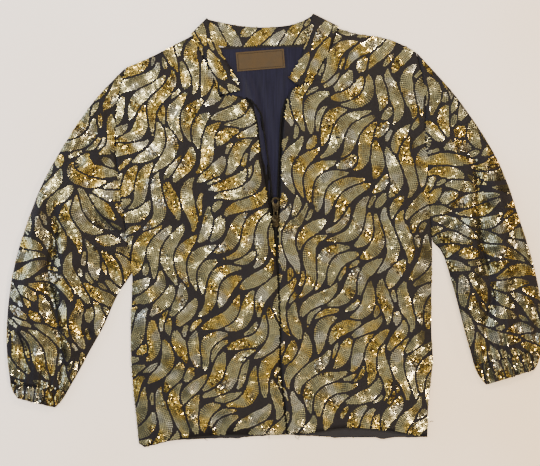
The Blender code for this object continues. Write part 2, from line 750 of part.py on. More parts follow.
def build_slider():
    """Slider: two plates, the post between them and the arch that holds the pull tab."""
    slider = finish(plate(slider_outline(), *UPPER_PLATE), "zip_slider", "antique_brass", smooth=False)
    front_leg = HINGE_Y + ARCH_FRONT
    rear_leg = front_leg - ARCH_LENGTH
    inside, shy = JOIN_OVERLAP, JOIN_OVERLAP / 4
    sunk = UPPER_PLATE[1] - inside
    post = middle_box(POST_WIDTH, SLIDER_TOP_Y - POST_LENGTH, SLIDER_TOP_Y - inside)
    front = middle_box(ARCH_WIDTH, front_leg, front_leg + ARCH_THICKNESS)
    rear = middle_box(ARCH_WIDTH, rear_leg, rear_leg + ARCH_THICKNESS)
    beam = middle_box(ARCH_WIDTH - shy, rear_leg + shy, front_leg + ARCH_THICKNESS - shy)
    joined_pieces = {
        "lower_plate": plate(slider_outline(), *LOWER_PLATE),
        "post": plate(post, LOWER_PLATE[1] - inside / 2, UPPER_PLATE[0] + inside),
        "arch_front_leg": plate(front, sunk, ARCH_TOP),
        "arch_rear_leg": plate(rear, sunk, ARCH_TOP),
        "arch_beam": plate(beam, ARCH_TOP - ARCH_THICKNESS, ARCH_TOP - shy),
    }
    for name, mesh in joined_pieces.items():
        piece = finish(mesh, "slider_" + name, "antique_brass", smooth=False)
        piece.hide_render = True
        piece.display_type = "WIRE"
        joined = slider.modifiers.new(name, "BOOLEAN")
        joined.operation = "UNION"
        joined.object = piece
    return slider


def ring_point(radius, degrees):
    """Point on a circle round the middle of the pull tab's round end."""
    angle = math.radians(degrees)
    return Vector((SLIDER_X + radius * math.cos(angle), PULL_RING_Y + radius * math.sin(angle)))


def pull_outline():
    """Plan of the pull tab: a narrow eye at the hinge and a round end."""
    start, end = PULL_RING_SPAN
    points = [ring_point(PULL_WIDTH / 2, start + (end - start) * i / ROUND_STEPS) for i in range(ROUND_STEPS + 1)]
    low_left, low_right, high_right, high_left = middle_box(
        PULL_NECK_WIDTH, HINGE_Y - PULL_BAR / 2, HINGE_Y + PULL_NECK_LENGTH
    )
    return points + [high_left, low_left, low_right, high_right]


def build_pull():
    """Pull tab: its bar lies under the slider's arch and its ring end lies towards the collar."""
    low, high = HINGE_Z - PULL_WALL / 2, HINGE_Z + PULL_WALL / 2
    pull = finish(plate(pull_outline(), low, high), "zip_pull", "antique_brass", smooth=False)
    eye_width = ARCH_WIDTH + 2 * PULL_EYE_CLEARANCE
    cuts = {
        "eye": middle_box(eye_width, HINGE_Y + PULL_BAR / 2, HINGE_Y + PULL_EYE_LENGTH),
        "hole": [ring_point(PULL_HOLE / 2, 360 * i / ROUND_STEPS) for i in range(ROUND_STEPS)],
    }
    for name, outline in cuts.items():
        through = plate(outline, low - PULL_WALL, high + PULL_WALL)
        cutter = finish(through, "pull_" + name, "antique_brass", smooth=False)
        cutter.hide_render = True
        cutter.display_type = "WIRE"
        cut = pull.modifiers.new(name, "BOOLEAN")
        cut.operation = "DIFFERENCE"
        cut.object = cutter
    return pull


def clear_scene():
    """Remove what the scene holds."""
    for existing in list(bpy.data.objects):
        bpy.data.objects.remove(existing, do_unlink=True)


def main():
    """Build every piece of the jacket."""
    clear_scene()
    build_back()
    build_back_lining()
    build_hem_facing()
    build_front("left_front", LEFT_FRONT, LEFT_SHOULDER, LEFT_FRONT_HEM, side=0)
    build_front("right_front", RIGHT_FRONT, RIGHT_SHOULDER, RIGHT_FRONT_HEM, side=1)
    build_sleeves()
    build_collar()
    build_label()
    build_zip_tapes()
    build_slider()
    build_pull()


main()
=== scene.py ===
"""Looks of a sequined zip-front jacket that lies flat on its back.

The cloth shells are finer copies of the part's own pieces with small creases added, and the sequins are
laid on them in leaf shapes. Tables are in millimetres in the frame of the part: +X to the viewer's right,
+Y from the hem to the collar, +Z up. Left and right are the viewer's sides.
"""

import logging
import math
from collections import deque
from collections.abc import Callable, Iterable
from dataclasses import dataclass, field
from enum import Enum

import bmesh
import bpy
import numpy as np
from bmesh.types import BMEdge, BMesh
from bpy.types import Material, Node, NodeSocket, NodeTree, Object
from mathutils import Matrix, Vector
from mathutils.bvhtree import BVHTree


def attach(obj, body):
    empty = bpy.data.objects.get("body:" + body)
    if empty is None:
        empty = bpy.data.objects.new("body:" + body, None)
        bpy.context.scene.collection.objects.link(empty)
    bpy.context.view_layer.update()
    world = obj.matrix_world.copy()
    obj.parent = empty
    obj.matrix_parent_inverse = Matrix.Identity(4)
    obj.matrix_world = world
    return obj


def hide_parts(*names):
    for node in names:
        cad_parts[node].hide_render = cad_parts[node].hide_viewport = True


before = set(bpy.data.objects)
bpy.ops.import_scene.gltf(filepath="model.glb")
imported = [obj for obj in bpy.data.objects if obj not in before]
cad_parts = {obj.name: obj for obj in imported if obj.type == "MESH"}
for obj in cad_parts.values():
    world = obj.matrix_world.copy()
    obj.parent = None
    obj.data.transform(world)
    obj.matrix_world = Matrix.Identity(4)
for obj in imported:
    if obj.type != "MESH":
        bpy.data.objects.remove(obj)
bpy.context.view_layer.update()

MM = 0.001
WELD = 0.02 * MM
RAY_START = 0.1
LOWEST = 0.05 * MM
FLAT_WITHIN = math.radians(1)
ROUNDED_FROM = math.radians(40)
SHARP_FROM = math.radians(50)
CREASED_FROM = math.radians(55)
CLOUD_SPREAD = (0.3, 0.7)
ON_THE_BIAS = 45.0
LABEL_TURN = 4.6
Patterns = tuple[NodeSocket, NodeSocket, NodeSocket]
JACKET = "jacket"
PULL_TAB = "pull_tab"

logging.basicConfig(level=logging.INFO, format="%(name)s: %(message)s")
log = logging.getLogger("jacket")


class Side(Enum):
    """Which way a surface of the jacket faces."""

    UPPER = 1
    UNDER = -1


@dataclass(frozen=True)
class Crease:
    """A soft ridge or trough of the cloth, from one end to the other, in mm."""

    name: str
    start: tuple[float, float]
    end: tuple[float, float]
    bend: float
    height: float
    half_width: float


@dataclass(frozen=True)
class Gathers:
    """Ripples that an elastic draws into a sleeve, across the line of its cuff seam, in mm."""

    start: tuple[float, float]
    end: tuple[float, float]
    reach_up: float
    reach_down: float
    count: int
    height: float
    phase: float
    drift: float = 1.3
    drift_turns: float = 9.0


UPPER_CREASES = (
    Crease("left_front_near_neck", (-118, 262), (-150, 150), 5, 1.6, 7),
    Crease("left_front_armhole_high", (-214, 150), (-150, 190), 4, 2.2, 8),
    Crease("left_front_armhole_middle", (-212, 60), (-140, 85), -4, 2.4, 8),
    Crease("left_front_armhole_low", (-208, 10), (-135, 10), 5, -1.4, 7),
    Crease("left_front_side_pull", (-205, -150), (-170, -60), -4, 1.5, 8),
    Crease("left_front_zip_high", (-36, 100), (-60, 40), 3, 1.6, 6),
    Crease("left_front_zip_middle", (-18, -20), (-48, -70), 3, 1.5, 6),
    Crease("left_front_zip_low", (-8, -150), (-40, -210), -3, 1.4, 6),
    Crease("left_front_long_valley", (-60, 60), (-45, -260), 5, -1.2, 9),
    Crease("left_front_hem_side", (-120, -300), (-128, -190), 3, 1.8, 8),
    Crease("left_front_hem_middle", (-70, -298), (-78, -215), -3, 1.5, 8),
    Crease("right_front_neck_drag", (110, 270), (150, 150), 6, 1.6, 8),
    Crease("right_front_chest_ridge", (90, 190), (95, -10), 7, 1.5, 9),
    Crease("right_front_chest_valley", (70, 120), (68, -120), -5, -1.2, 8),
    Crease("right_front_armhole_high", (207, 120), (160, 165), -4, 2.0, 8),
    Crease("right_front_armhole_middle", (212, 40), (150, 50), 4, 1.8, 8),
    Crease("right_front_armhole_low", (217, 0), (170, -40), -4, 2.0, 8),
    Crease("right_front_side_pull", (222, -110), (190, -230), 4, 1.6, 9),
    Crease("right_front_hem_side", (170, -292), (176, -190), 3, 1.6, 8),
    Crease("right_front_hem_zip", (60, -292), (66, -200), -3, 1.4, 8),
    Crease("right_front_zip_high", (20, 60), (42, 0), -3, 1.4, 6),
    Crease("right_front_zip_low", (22, -100), (44, -160), 3, 1.4, 6),
    Crease("left_cap_drag", (-238, 190), (-300, 120), 6, -2.2, 8),
    Crease("left_cap_ridge", (-236, 140), (-310, 80), 6, 2.0, 9),
    Crease("left_underarm_high", (-222, -10), (-275, 35), 6, -3.0, 7),
    Crease("left_underarm_middle", (-226, -30), (-300, -5), 4, 2.4, 8),
    Crease("left_underarm_low", (-236, -60), (-300, -60), -5, -2.6, 8),
    Crease("left_elbow_outer", (-345, 60), (-372, -20), 5, 2.2, 9),
    Crease("left_elbow_low", (-368, 10), (-385, -90), 4, -2.0, 8),
    Crease("left_elbow_cross", (-300, 20), (-345, -20), -5, -2.4, 8),
    Crease("left_forearm_outer", (-375, -60), (-382, -170), 4, 2.4, 9),
    Crease("left_forearm_inner", (-300, -110), (-308, -200), -4, 2.0, 8),
    Crease("left_forearm_cross", (-385, -110), (-335, -95), 4, -2.0, 7),
    Crease("left_pucker_high", (-262, -110), (-292, -120), 2, -1.8, 6),
    Crease("left_pucker_low", (-272, -150), (-300, -158), 2, -1.8, 6),
    Crease("left_cuff_outer", (-382, -150), (-376, -222), 3, -2.0, 6),
    Crease("left_cuff_middle", (-352, -165), (-352, -230), -3, 1.8, 6),
    Crease("left_cuff_inner", (-315, -175), (-322, -232), 3, -1.8, 6),
    Crease("left_long_fold", (-330, 38), (-340, -66), 6, -3.8, 4.6),
    Crease("left_long_fold_low", (-341, -70), (-320, -196), 6, -3.4, 4.6),
    Crease("left_long_ridge", (-324, 16), (-318, -70), 5, 1.2, 7),
    Crease("right_long_fold_high", (294, 112), (300, 30), 6, -3.0, 4.6),
    Crease("right_long_fold", (308, 24), (321, -70), -6, -3.6, 4.4),
    Crease("right_long_fold_low", (323, -76), (311, -142), 6, -3.2, 4.4),
    Crease("right_cap_drag", (232, 200), (290, 140), -6, -2.0, 8),
    Crease("right_cap_ridge", (232, 150), (305, 100), -5, 2.0, 9),
    Crease("right_underarm_high", (243, 10), (290, 70), -6, -3.0, 7),
    Crease("right_underarm_middle", (248, -10), (300, 20), -4, 2.4, 8),
    Crease("right_underarm_low", (256, -30), (300, -30), 4, -2.4, 8),
    Crease("right_elbow_high", (320, 100), (350, 30), -5, 2.0, 9),
    Crease("right_elbow_low", (352, 40), (372, -50), -4, -2.0, 8),
    Crease("right_cross_high", (300, 40), (345, 10), 5, -2.4, 8),
    Crease("right_cross_middle", (315, -30), (372, -60), 5, -2.2, 8),
    Crease("right_cross_low", (330, -80), (385, -105), -4, 2.0, 8),
    Crease("right_forearm", (355, -60), (375, -160), -4, -2.4, 8),
    Crease("right_pucker_high", (284, -80), (312, -70), 2, -1.8, 6),
    Crease("right_pucker_low", (290, -120), (318, -110), 2, -1.8, 6),
    Crease("right_cuff_inner", (312, -130), (322, -190), 3, -1.8, 6),
    Crease("right_cuff_middle", (348, -120), (350, -180), -3, 1.8, 6),
    Crease("right_cuff_outer", (388, -110), (388, -172), 3, -1.8, 6),
)

UNDER_CREASES = (
    Crease("back_shoulder_left", (-200, 190), (-90, 240), 6, 1.1, 9),
    Crease("back_shoulder_right", (195, 210), (80, 250), -6, 1.1, 9),
    Crease("back_blade_left", (-205, 60), (-90, 20), 8, 1.3, 10),
    Crease("back_blade_right", (210, 40), (100, -10), -8, 1.2, 10),
    Crease("back_centre_high", (-20, 240), (-30, 60), 6, 0.9, 9),
    Crease("back_centre_low", (20, -40), (10, -280), -6, 1.1, 10),
    Crease("back_waist_left", (-200, -110), (-70, -150), 7, 1.2, 10),
    Crease("back_waist_right", (220, -120), (90, -170), -7, 1.2, 10),
    Crease("back_hem_left", (-150, -300), (-140, -190), 4, 1.0, 9),
    Crease("back_hem_right", (150, -290), (160, -180), -4, 1.0, 9),
    Crease("left_sleeve_back_high", (-250, 150), (-310, 20), 6, 1.4, 8),
    Crease("left_sleeve_back_middle", (-330, 60), (-300, -120), -6, 1.5, 9),
    Crease("left_sleeve_back_low", (-370, -60), (-350, -210), 4, 1.3, 8),
    Crease("right_sleeve_back_high", (250, 150), (310, 40), -6, 1.4, 8),
    Crease("right_sleeve_back_middle", (330, 60), (310, -90), 6, 1.5, 9),
    Crease("right_sleeve_back_low", (380, -40), (350, -170), -4, 1.3, 8),
)

CUFF_GATHERS = (
    Gathers((-395.5, -226), (-309, -238), 34, 60, 11, 0.9, 0.6),
    Gathers((297.5, -199), (399.5, -176), 34, 60, 12, 0.9, 1.9),
)


def linear(code: str) -> tuple[float, float, float, float]:
    """Turn an sRGB hex colour into linear RGBA.

    Args:
        code: Six hex digits.

    Returns:
        Linear red, green, blue and an alpha of 1.
    """
    parts = [int(code[i : i + 2], 16) / 255 for i in (0, 2, 4)]
    low = [c / 12.92 if c <= 0.04045 else ((c + 0.055) / 1.055) ** 2.4 for c in parts]
    return (low[0], low[1], low[2], 1.0)


def feed(tree: NodeTree, node: Node, inputs: dict) -> None:
    """Set or link a node's sockets.

    Args:
        tree: Node tree that holds the node.
        node: Node to feed.
        inputs: Socket name or number to a value, or to the output socket that feeds it.
    """
    for name, value in inputs.items():
        if isinstance(value, NodeSocket):
            tree.links.new(value, node.inputs[name])
        else:
            node.inputs[name].default_value = value


def add(tree: NodeTree, kind: str, inputs: dict | None = None, **settings: object) -> Node:
    """Add a node with its settings and links.

    Args:
        tree: Node tree that takes the node.
        kind: Blender's type name of the node.
        inputs: Socket name or number to a value, or to the output socket that feeds it.
        settings: Attributes of the node.

    Returns:
        The new node.
    """
    node = tree.nodes.new(kind)
    for name, value in settings.items():
        setattr(node, name, value)
    feed(tree, node, inputs or {})
    return node


def new_material(name: str) -> tuple[Material, NodeTree, Node]:
    """Make a material with a plain shader.

    Args:
        name: Name of the material.

    Returns:
        The material, its node tree and its shader.
    """
    material = bpy.data.materials.new(name)
    material.use_nodes = True
    tree = material.node_tree
    return material, tree, tree.nodes["Principled BSDF"]


def mapped(tree: NodeTree, pitch_mm: tuple[float, float, float], turn: float = 0.0) -> NodeSocket:
    """Object coordinates in which a pattern of the given pitch repeats once a unit.

    Args:
        tree: Node tree that takes the nodes.
        pitch_mm: Size of one repeat along each axis.
        turn: Turn about Z in degrees.

    Returns:
        The mapped vector.
    """
    place = add(tree, "ShaderNodeTexCoord")
    scale = tuple(1 / (pitch * MM) for pitch in pitch_mm)
    inputs = {"Vector": place.outputs["Object"], "Rotation": (0, 0, math.radians(turn)), "Scale": scale}
    return add(tree, "ShaderNodeMapping", inputs).outputs["Vector"]


def noise(tree: NodeTree, size_mm: float, detail: float = 3.0) -> NodeSocket:
    """Cloudy pattern.

    Args:
        tree: Node tree that takes the nodes.
        size_mm: Width of its spots.
        detail: How many finer layers it has.

    Returns:
        A value from 0 to 1, mostly within CLOUD_SPREAD.
    """
    vector = mapped(tree, (size_mm, size_mm, size_mm))
    return add(tree, "ShaderNodeTexNoise", {"Vector": vector, "Scale": 1.0, "Detail": detail}).outputs["Fac"]


def colour_ramp(tree: NodeTree, fac: NodeSocket, stops: Iterable[tuple[float, str]]) -> NodeSocket:
    """Colour that follows a value.

    Args:
        tree: Node tree that takes the node.
        fac: Value from 0 to 1.
        stops: Positions and their sRGB hex colours.

    Returns:
        The colour.
    """
    ramp = add(tree, "ShaderNodeValToRGB", {"Fac": fac})
    elements = ramp.color_ramp.elements
    for index, (position, code) in enumerate(stops):
        element = elements[index] if index < len(elements) else elements.new(position)
        element.position = position
        element.color = linear(code)
    return ramp.outputs["Color"]


def uneven(tree: NodeTree, cloud: NodeSocket, ends: tuple[float, float]) -> NodeSocket:
    """Value that follows a cloudy pattern.

    Args:
        tree: Node tree that takes the node.
        cloud: Cloudy pattern.
        ends: Value where the pattern is low, and where it is high.

    Returns:
        The value.
    """
    low, high = CLOUD_SPREAD
    inputs = {"Value": cloud, "From Min": low, "From Max": high, "To Min": ends[0], "To Max": ends[1]}
    return add(tree, "ShaderNodeMapRange", inputs).outputs["Result"]


def weave_height(tree: NodeTree, pitch_mm: float, turn: float = 0.0) -> NodeSocket:
    """Height of a plain weave: warp and weft bands of one pitch, crossed.

    Args:
        tree: Node tree that takes the nodes.
        pitch_mm: Distance between threads.
        turn: Turn of the threads about Z in degrees.

    Returns:
        A value from 0 to 1.
    """
    vector = mapped(tree, (pitch_mm, pitch_mm, pitch_mm), turn)
    bands = {"Vector": vector, "Scale": 1 / math.pi, "Distortion": 0.4, "Detail": 1.0}
    warp = add(tree, "ShaderNodeTexWave", bands, wave_type="BANDS", bands_direction="X")
    weft = add(tree, "ShaderNodeTexWave", bands, wave_type="BANDS", bands_direction="Y")
    crossed = {0: warp.outputs["Fac"], 1: weft.outputs["Fac"]}
    return add(tree, "ShaderNodeMath", crossed, operation="MAXIMUM").outputs["Value"]


@dataclass(frozen=True)
class SequinFilm:
    """Metallised polyester film, punched into discs: a thin clear skin over champagne to gold metal, with
    painted reflections.
    """

    name: str = "metallised_film_sequins"
    roughness: tuple[float, float] = (0.18, 0.28)
    wear_mm: float = 9.0
    coat: float = 0.3
    coat_roughness: float = 0.16
    coat_ior: float = 1.58

    def material(self) -> Material:
        """Each disc takes its colour, painted reflections and painted shade included, from the mesh, and wear
        makes the film patchy in gloss.

        Returns:
            The material.
        """
        material, tree, shader = new_material(self.name)
        values = {
            "Base Color": add(tree, "ShaderNodeAttribute", attribute_name="tone").outputs["Color"],
            "Roughness": uneven(tree, noise(tree, self.wear_mm), self.roughness),
            "Metallic": 1.0,
            "Coat Weight": self.coat,
            "Coat Roughness": self.coat_roughness,
            "Coat IOR": self.coat_ior,
        }
        feed(tree, shader, values)
        return material


@dataclass(frozen=True)
class Finish:
    """Finish of a surface: two shades of one pattern, gloss that follows another, and a small relief."""

    name: str
    dark: str
    light: str
    dark_at: float = 0.3
    light_at: float = 0.7
    roughness: tuple[float, float] = (0.5, 0.7)
    relief_mm: float = 0.0
    relief_strength: float = 0.0
    metallic: float = 0.0
    specular: float = 0.5
    sheen: float = 0.0
    sheen_roughness: float = 0.5

    def patterns(self, tree: NodeTree) -> Patterns:
        """Patterns of the shade, the gloss and the relief, which each finish gives."""
        raise NotImplementedError

    def material(self) -> Material:
        """Build the finish from its patterns.

        Returns:
            The material.
        """
        material, tree, shader = new_material(self.name)
        shade, gloss, height = self.patterns(tree)
        values = {
            "Base Color": colour_ramp(tree, shade, ((self.dark_at, self.dark), (self.light_at, self.light))),
            "Roughness": uneven(tree, gloss, self.roughness),
            "Metallic": self.metallic,
            "Specular IOR Level": self.specular,
            "Sheen Weight": self.sheen,
            "Sheen Roughness": self.sheen_roughness,
        }
        if self.relief_mm:
            relief = {"Height": height, "Distance": self.relief_mm * MM, "Strength": self.relief_strength}
            values["Normal"] = add(tree, "ShaderNodeBump", relief).outputs["Normal"]
        feed(tree, shader, values)
        return material


@dataclass(frozen=True)
class GroundCloth(Finish):
    """Near-black knitted mesh over taffeta, which carries the sequins and shows between the leaves.

    The net is about 1 mm in the real cloth and is drawn a little coarser, so that it shows.
    """

    name: str = "black_mesh_over_taffeta"
    dark: str = "141317"
    light: str = "242228"
    dark_at: float = 0.1
    light_at: float = 0.75
    roughness: tuple[float, float] = (0.5, 0.68)
    relief_mm: float = 0.25
    relief_strength: float = 0.5
    specular: float = 0.18
    sheen: float = 0.03
    net_mm: float = 1.6
    cloud_mm: float = 22.0
    least_shade: float = 0.1

    def patterns(self, tree: NodeTree) -> Patterns:
        """Net with slow clouds over it.

        Args:
            tree: Node tree that takes the nodes.

        Returns:
            Patterns of the shade, the gloss and the relief.
        """
        cloud = noise(tree, self.cloud_mm)
        net = weave_height(tree, self.net_mm, ON_THE_BIAS)
        mixed = {0: cloud, 1: net, 2: self.least_shade}
        shade = add(tree, "ShaderNodeMath", mixed, operation="MULTIPLY_ADD").outputs["Value"]
        return shade, cloud, net


@dataclass(frozen=True)
class SatinLining(Finish):
    """Navy acetate satin: smooth floats that catch a broad, soft light along the folds."""

    name: str = "navy_acetate_satin"
    dark: str = "121329"
    light: str = "1E1F3A"
    light_at: float = 0.75
    roughness: tuple[float, float] = (0.38, 0.46)
    relief_mm: float = 0.06
    relief_strength: float = 0.2
    specular: float = 0.14
    sheen: float = 0.02
    sheen_roughness: float = 0.35
    streak_mm: tuple[float, float, float] = (2.0, 40.0, 10.0)

    def patterns(self, tree: NodeTree) -> Patterns:
        """Long streaks along the cloth stand for the satin's floats, drawn coarser than the real ones; their
        lighter lines are painted sheen.

        Args:
            tree: Node tree that takes the nodes.

        Returns:
            The same streaks for the shade, the gloss and the relief.
        """
        inputs = {"Vector": mapped(tree, self.streak_mm), "Scale": 1.0, "Detail": 3.0}
        streaks = add(tree, "ShaderNodeTexNoise", inputs).outputs["Fac"]
        # The lighter streaks in the colour are painted sheen.
        return streaks, streaks, streaks


@dataclass(frozen=True)
class WovenTape(Finish):
    """Black polyester twill, as zip tape and as the hem's facing: close ribs that take little light."""

    name: str = "black_twill_tape"
    dark: str = "040406"
    light: str = "0E0E12"
    dark_at: float = 0.2
    light_at: float = 0.9
    roughness: tuple[float, float] = (0.7, 0.85)
    relief_mm: float = 0.2
    relief_strength: float = 0.6
    specular: float = 0.2
    rib_mm: float = 1.2
    cloud_mm: float = 12.0

    def patterns(self, tree: NodeTree) -> Patterns:
        """Twill ribs lean at 45 degrees, and clouds vary the gloss."""
        twill = weave_height(tree, self.rib_mm, ON_THE_BIAS)
        return twill, noise(tree, self.cloud_mm), twill


@dataclass(frozen=True)
class NylonCoil(Finish):
    """Black nylon filament, heat-set in a coil: half glossy, so that each turn has a glint."""

    name: str = "black_nylon_coil"
    dark: str = "040405"
    light: str = "0B0B0E"
    light_at: float = 0.8
    roughness: tuple[float, float] = (0.5, 0.65)
    specular: float = 0.25
    mark_mm: float = 4.0

    def patterns(self, tree: NodeTree) -> Patterns:
        """Fine drawing marks vary the shade and the gloss."""
        marks = noise(tree, self.mark_mm)
        return marks, marks, marks


@dataclass(frozen=True)
class AntiqueBrass(Finish):
    """Die-cast zinc plated with antique brass, whose brown has been rubbed through in cloudy patches."""

    name: str = "antique_brass_plate"
    dark: str = "25211A"
    light: str = "4E4738"
    dark_at: float = 0.35
    light_at: float = 0.72
    roughness: tuple[float, float] = (0.5, 0.3)
    relief_mm: float = 0.05
    relief_strength: float = 0.3
    metallic: float = 1.0
    wear_mm: float = 3.5
    wear_detail: float = 5.0

    def patterns(self, tree: NodeTree) -> Patterns:
        """Cloudy wear, which is lighter and glossier where it is rubbed."""
        wear = noise(tree, self.wear_mm, self.wear_detail)
        return wear, wear, wear


@dataclass(frozen=True)
class LabelCloth(Finish):
    """Tan woven label, bare: a close satin ribbon, whose threads are 0.6 mm apart and drawn at 0.9 mm."""

    name: str = "tan_woven_label"
    dark: str = "34260F"
    light: str = "513E1E"
    dark_at: float = 0.05
    light_at: float = 0.6
    roughness: tuple[float, float] = (0.55, 0.7)
    relief_mm: float = 0.12
    relief_strength: float = 0.5
    thread_mm: float = 0.9
    turn: float = LABEL_TURN
    cloud_mm: float = 14.0

    def patterns(self, tree: NodeTree) -> Patterns:
        """Weave in line with the label, with slow clouds over it.

        Args:
            tree: Node tree that takes the nodes.

        Returns:
            Patterns of the shade, the gloss and the relief.
        """
        weave = weave_height(tree, self.thread_mm, self.turn)
        cloud = noise(tree, self.cloud_mm)
        shade = add(tree, "ShaderNodeMath", {0: weave, 1: cloud}, operation="MULTIPLY").outputs["Value"]
        return shade, cloud, weave


@dataclass(frozen=True)
class Thread(Finish):
    """Polyester sewing thread, whose twist shows as a slow change of shade."""

    twist_mm: float = 1.5

    def patterns(self, tree: NodeTree) -> Patterns:
        """Twist, for the shade and the gloss."""
        twist = noise(tree, self.twist_mm)
        return twist, twist, twist


@dataclass(frozen=True)
class PaleBoard:
    """Opal board under the jacket: warm white, slightly uneven, with a painted glow and painted warm shade.
    """

    name: str = "warm_white_board"
    stops: tuple[tuple[float, str], ...] = ((0.1, "FAEFE6"), (0.55, "F5E4D4"), (1.0, "EBD2AE"))
    painted_shade_towards: tuple[float, float, float] = (0.7, -0.6, 0.0)
    slope_mm: tuple[float, float, float] = (1000.0, 1000.0, 1000.0)
    cloud_mm: float = 420.0
    cloud_detail: float = 2.0
    roughness: float = 0.75
    painted_glow: float = 1.2

    def material(self) -> Material:
        """Painted warm shade darkens it towards the near right corner, broad, faint clouds keep it uneven,
        and it glows with painted light.

        Returns:
            The material.
        """
        material, tree, shader = new_material(self.name)
        cloud = noise(tree, self.cloud_mm, self.cloud_detail)
        towards = {0: mapped(tree, self.slope_mm), 1: self.painted_shade_towards}
        slope = add(tree, "ShaderNodeVectorMath", towards, operation="DOT_PRODUCT").outputs["Value"]
        mixed = add(tree, "ShaderNodeMath", {0: slope, 1: cloud}, operation="ADD").outputs["Value"]
        colour = colour_ramp(tree, mixed, self.stops)
        # The emission is a painted glow that brightens the board, and the slope towards the corner is painted
        # warm shade.
        values = {
            "Base Color": colour,
            "Emission Color": colour,
            "Emission Strength": self.painted_glow,
            "Roughness": self.roughness,
        }
        feed(tree, shader, values)
        return material


def crease_field(points: np.ndarray, creases: Iterable[Crease]) -> np.ndarray:
    """Height that creases add at points of the plan.

    Args:
        points: Array of x and y in mm.
        creases: Ridges and troughs.

    Returns:
        One height in mm for each point.
    """
    total = np.zeros(len(points))
    for crease in creases:
        start, end = np.array(crease.start, float), np.array(crease.end, float)
        along = end - start
        length = np.linalg.norm(along)
        along = along / length
        offset = points - start
        t = offset @ along / length
        off_line = offset[:, 0] * along[1] - offset[:, 1] * along[0]
        inside = np.clip(4 * t * (1 - t), 0, None)
        off_line = off_line + crease.bend * inside
        total += crease.height * np.sqrt(inside) * np.exp(-((off_line / crease.half_width) ** 2))
    return total


def gather_field(points: np.ndarray, gathers: Iterable[Gathers]) -> np.ndarray:
    """Height that gathers add at points of the plan.

    Args:
        points: Array of x and y in mm.
        gathers: Ripples along the cuff seams.

    Returns:
        One height in mm for each point.
    """
    total = np.zeros(len(points))
    for gather in gathers:
        start, end = np.array(gather.start, float), np.array(gather.end, float)
        along = end - start
        length = np.linalg.norm(along)
        along = along / length
        offset = points - start
        u = offset @ along / length
        up = offset[:, 1] * along[0] - offset[:, 0] * along[1]
        up = up * np.sign(along[0])
        reach = np.where(up > 0, gather.reach_up, gather.reach_down)
        inside = (u > 0) & (u < 1)
        drift = gather.drift * np.sin(gather.drift_turns * u)
        ripple = np.sin(2 * math.pi * gather.count * u + gather.phase + drift)
        total += inside * gather.height * ripple * np.exp(-np.abs(up) / reach)
    return total


@dataclass(frozen=True)
class Relief:
    """Slow unevenness of cloth: a few plane waves with random directions."""

    seed: int
    shortest_mm: float
    longest_mm: float
    count: int = 9

    def at(self, points: np.ndarray) -> np.ndarray:
        """Unevenness at points of the plan.

        Args:
            points: Array of x and y in mm.

        Returns:
            A value of about -1 to 1 for each point.
        """
        rng = np.random.default_rng(self.seed)
        total = np.zeros(len(points))
        for _ in range(self.count):
            angle, phase = rng.uniform(0, math.tau, 2)
            size = rng.uniform(self.shortest_mm, self.longest_mm)
            direction = np.array((math.cos(angle), math.sin(angle)))
            total += np.sin(points @ direction * math.tau / size + phase)
        return total / math.sqrt(self.count / 2)


def merged_copy(node: str) -> BMesh:
    """Copy a node's mesh and merge its loose triangles.

    Args:
        node: Name of the node.

    Returns:
        The copy.
    """
    mesh = bmesh.new()
    mesh.from_mesh(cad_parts[node].data)
    bmesh.ops.remove_doubles(mesh, verts=mesh.verts, dist=WELD)
    return mesh


def show(mesh: BMesh, name: str, material: Material) -> Object:
    """Put a mesh into the scene as one piece, shaded smooth where its faces meet below SHARP_FROM.

    Args:
        mesh: Mesh to show, which is freed.
        name: Name of the piece.
        material: Its only material.

    Returns:
        The piece, at the origin.
    """
    data = bpy.data.meshes.new(name)
    mesh.to_mesh(data)
    mesh.free()
    data.materials.clear()
    data.materials.append(material)
    data.shade_smooth()
    data.set_sharp_from_angle(angle=SHARP_FROM)
    piece = bpy.data.objects.new(name, data)
    bpy.context.scene.collection.objects.link(piece)
    return piece


def subdivided(mesh: BMesh, levels: int, name: str) -> BMesh:
    """Smooth, finer surface of a mesh, with its sharp edges kept.

    Args:
        mesh: Mesh of quads, which is freed.
        levels: Steps of subdivision.
        name: Name of the piece that carries the modifier for a moment.

    Returns:
        The finer mesh.
    """
    crease = mesh.edges.layers.float.new("crease_edge")
    for edge in mesh.edges:
        if edge.is_manifold and edge.calc_face_angle() > CREASED_FROM:
            edge[crease] = 1.0
    data = bpy.data.meshes.new(name + "_coarse")
    mesh.to_mesh(data)
    mesh.free()
    carrier = bpy.data.objects.new(name + "_coarse", data)
    bpy.context.scene.collection.objects.link(carrier)
    surface = carrier.modifiers.new("surface", "SUBSURF")
    surface.levels = levels
    surface.render_levels = levels
    fine = bmesh.new()
    fine.from_object(carrier, bpy.context.evaluated_depsgraph_get())
    bpy.data.objects.remove(carrier)
    bpy.data.meshes.remove(data)
    return fine


def finer_copy(node: str, levels: int, face_degrees: float, shape_degrees: float) -> BMesh:
    """Copy a node's mesh as quads and make it finer.

    Args:
        node: Name of the node.
        levels: Steps of subdivision.
        face_degrees: Greatest angle between two triangles that become a quad.
        shape_degrees: How far a quad's corners may be from square.

    Returns:
        The finer copy.
    """
    mesh = merged_copy(node)
    face, shape = math.radians(face_degrees), math.radians(shape_degrees)
    bmesh.ops.join_triangles(mesh, faces=mesh.faces, angle_face_threshold=face, angle_shape_threshold=shape)
    return subdivided(mesh, levels, node)


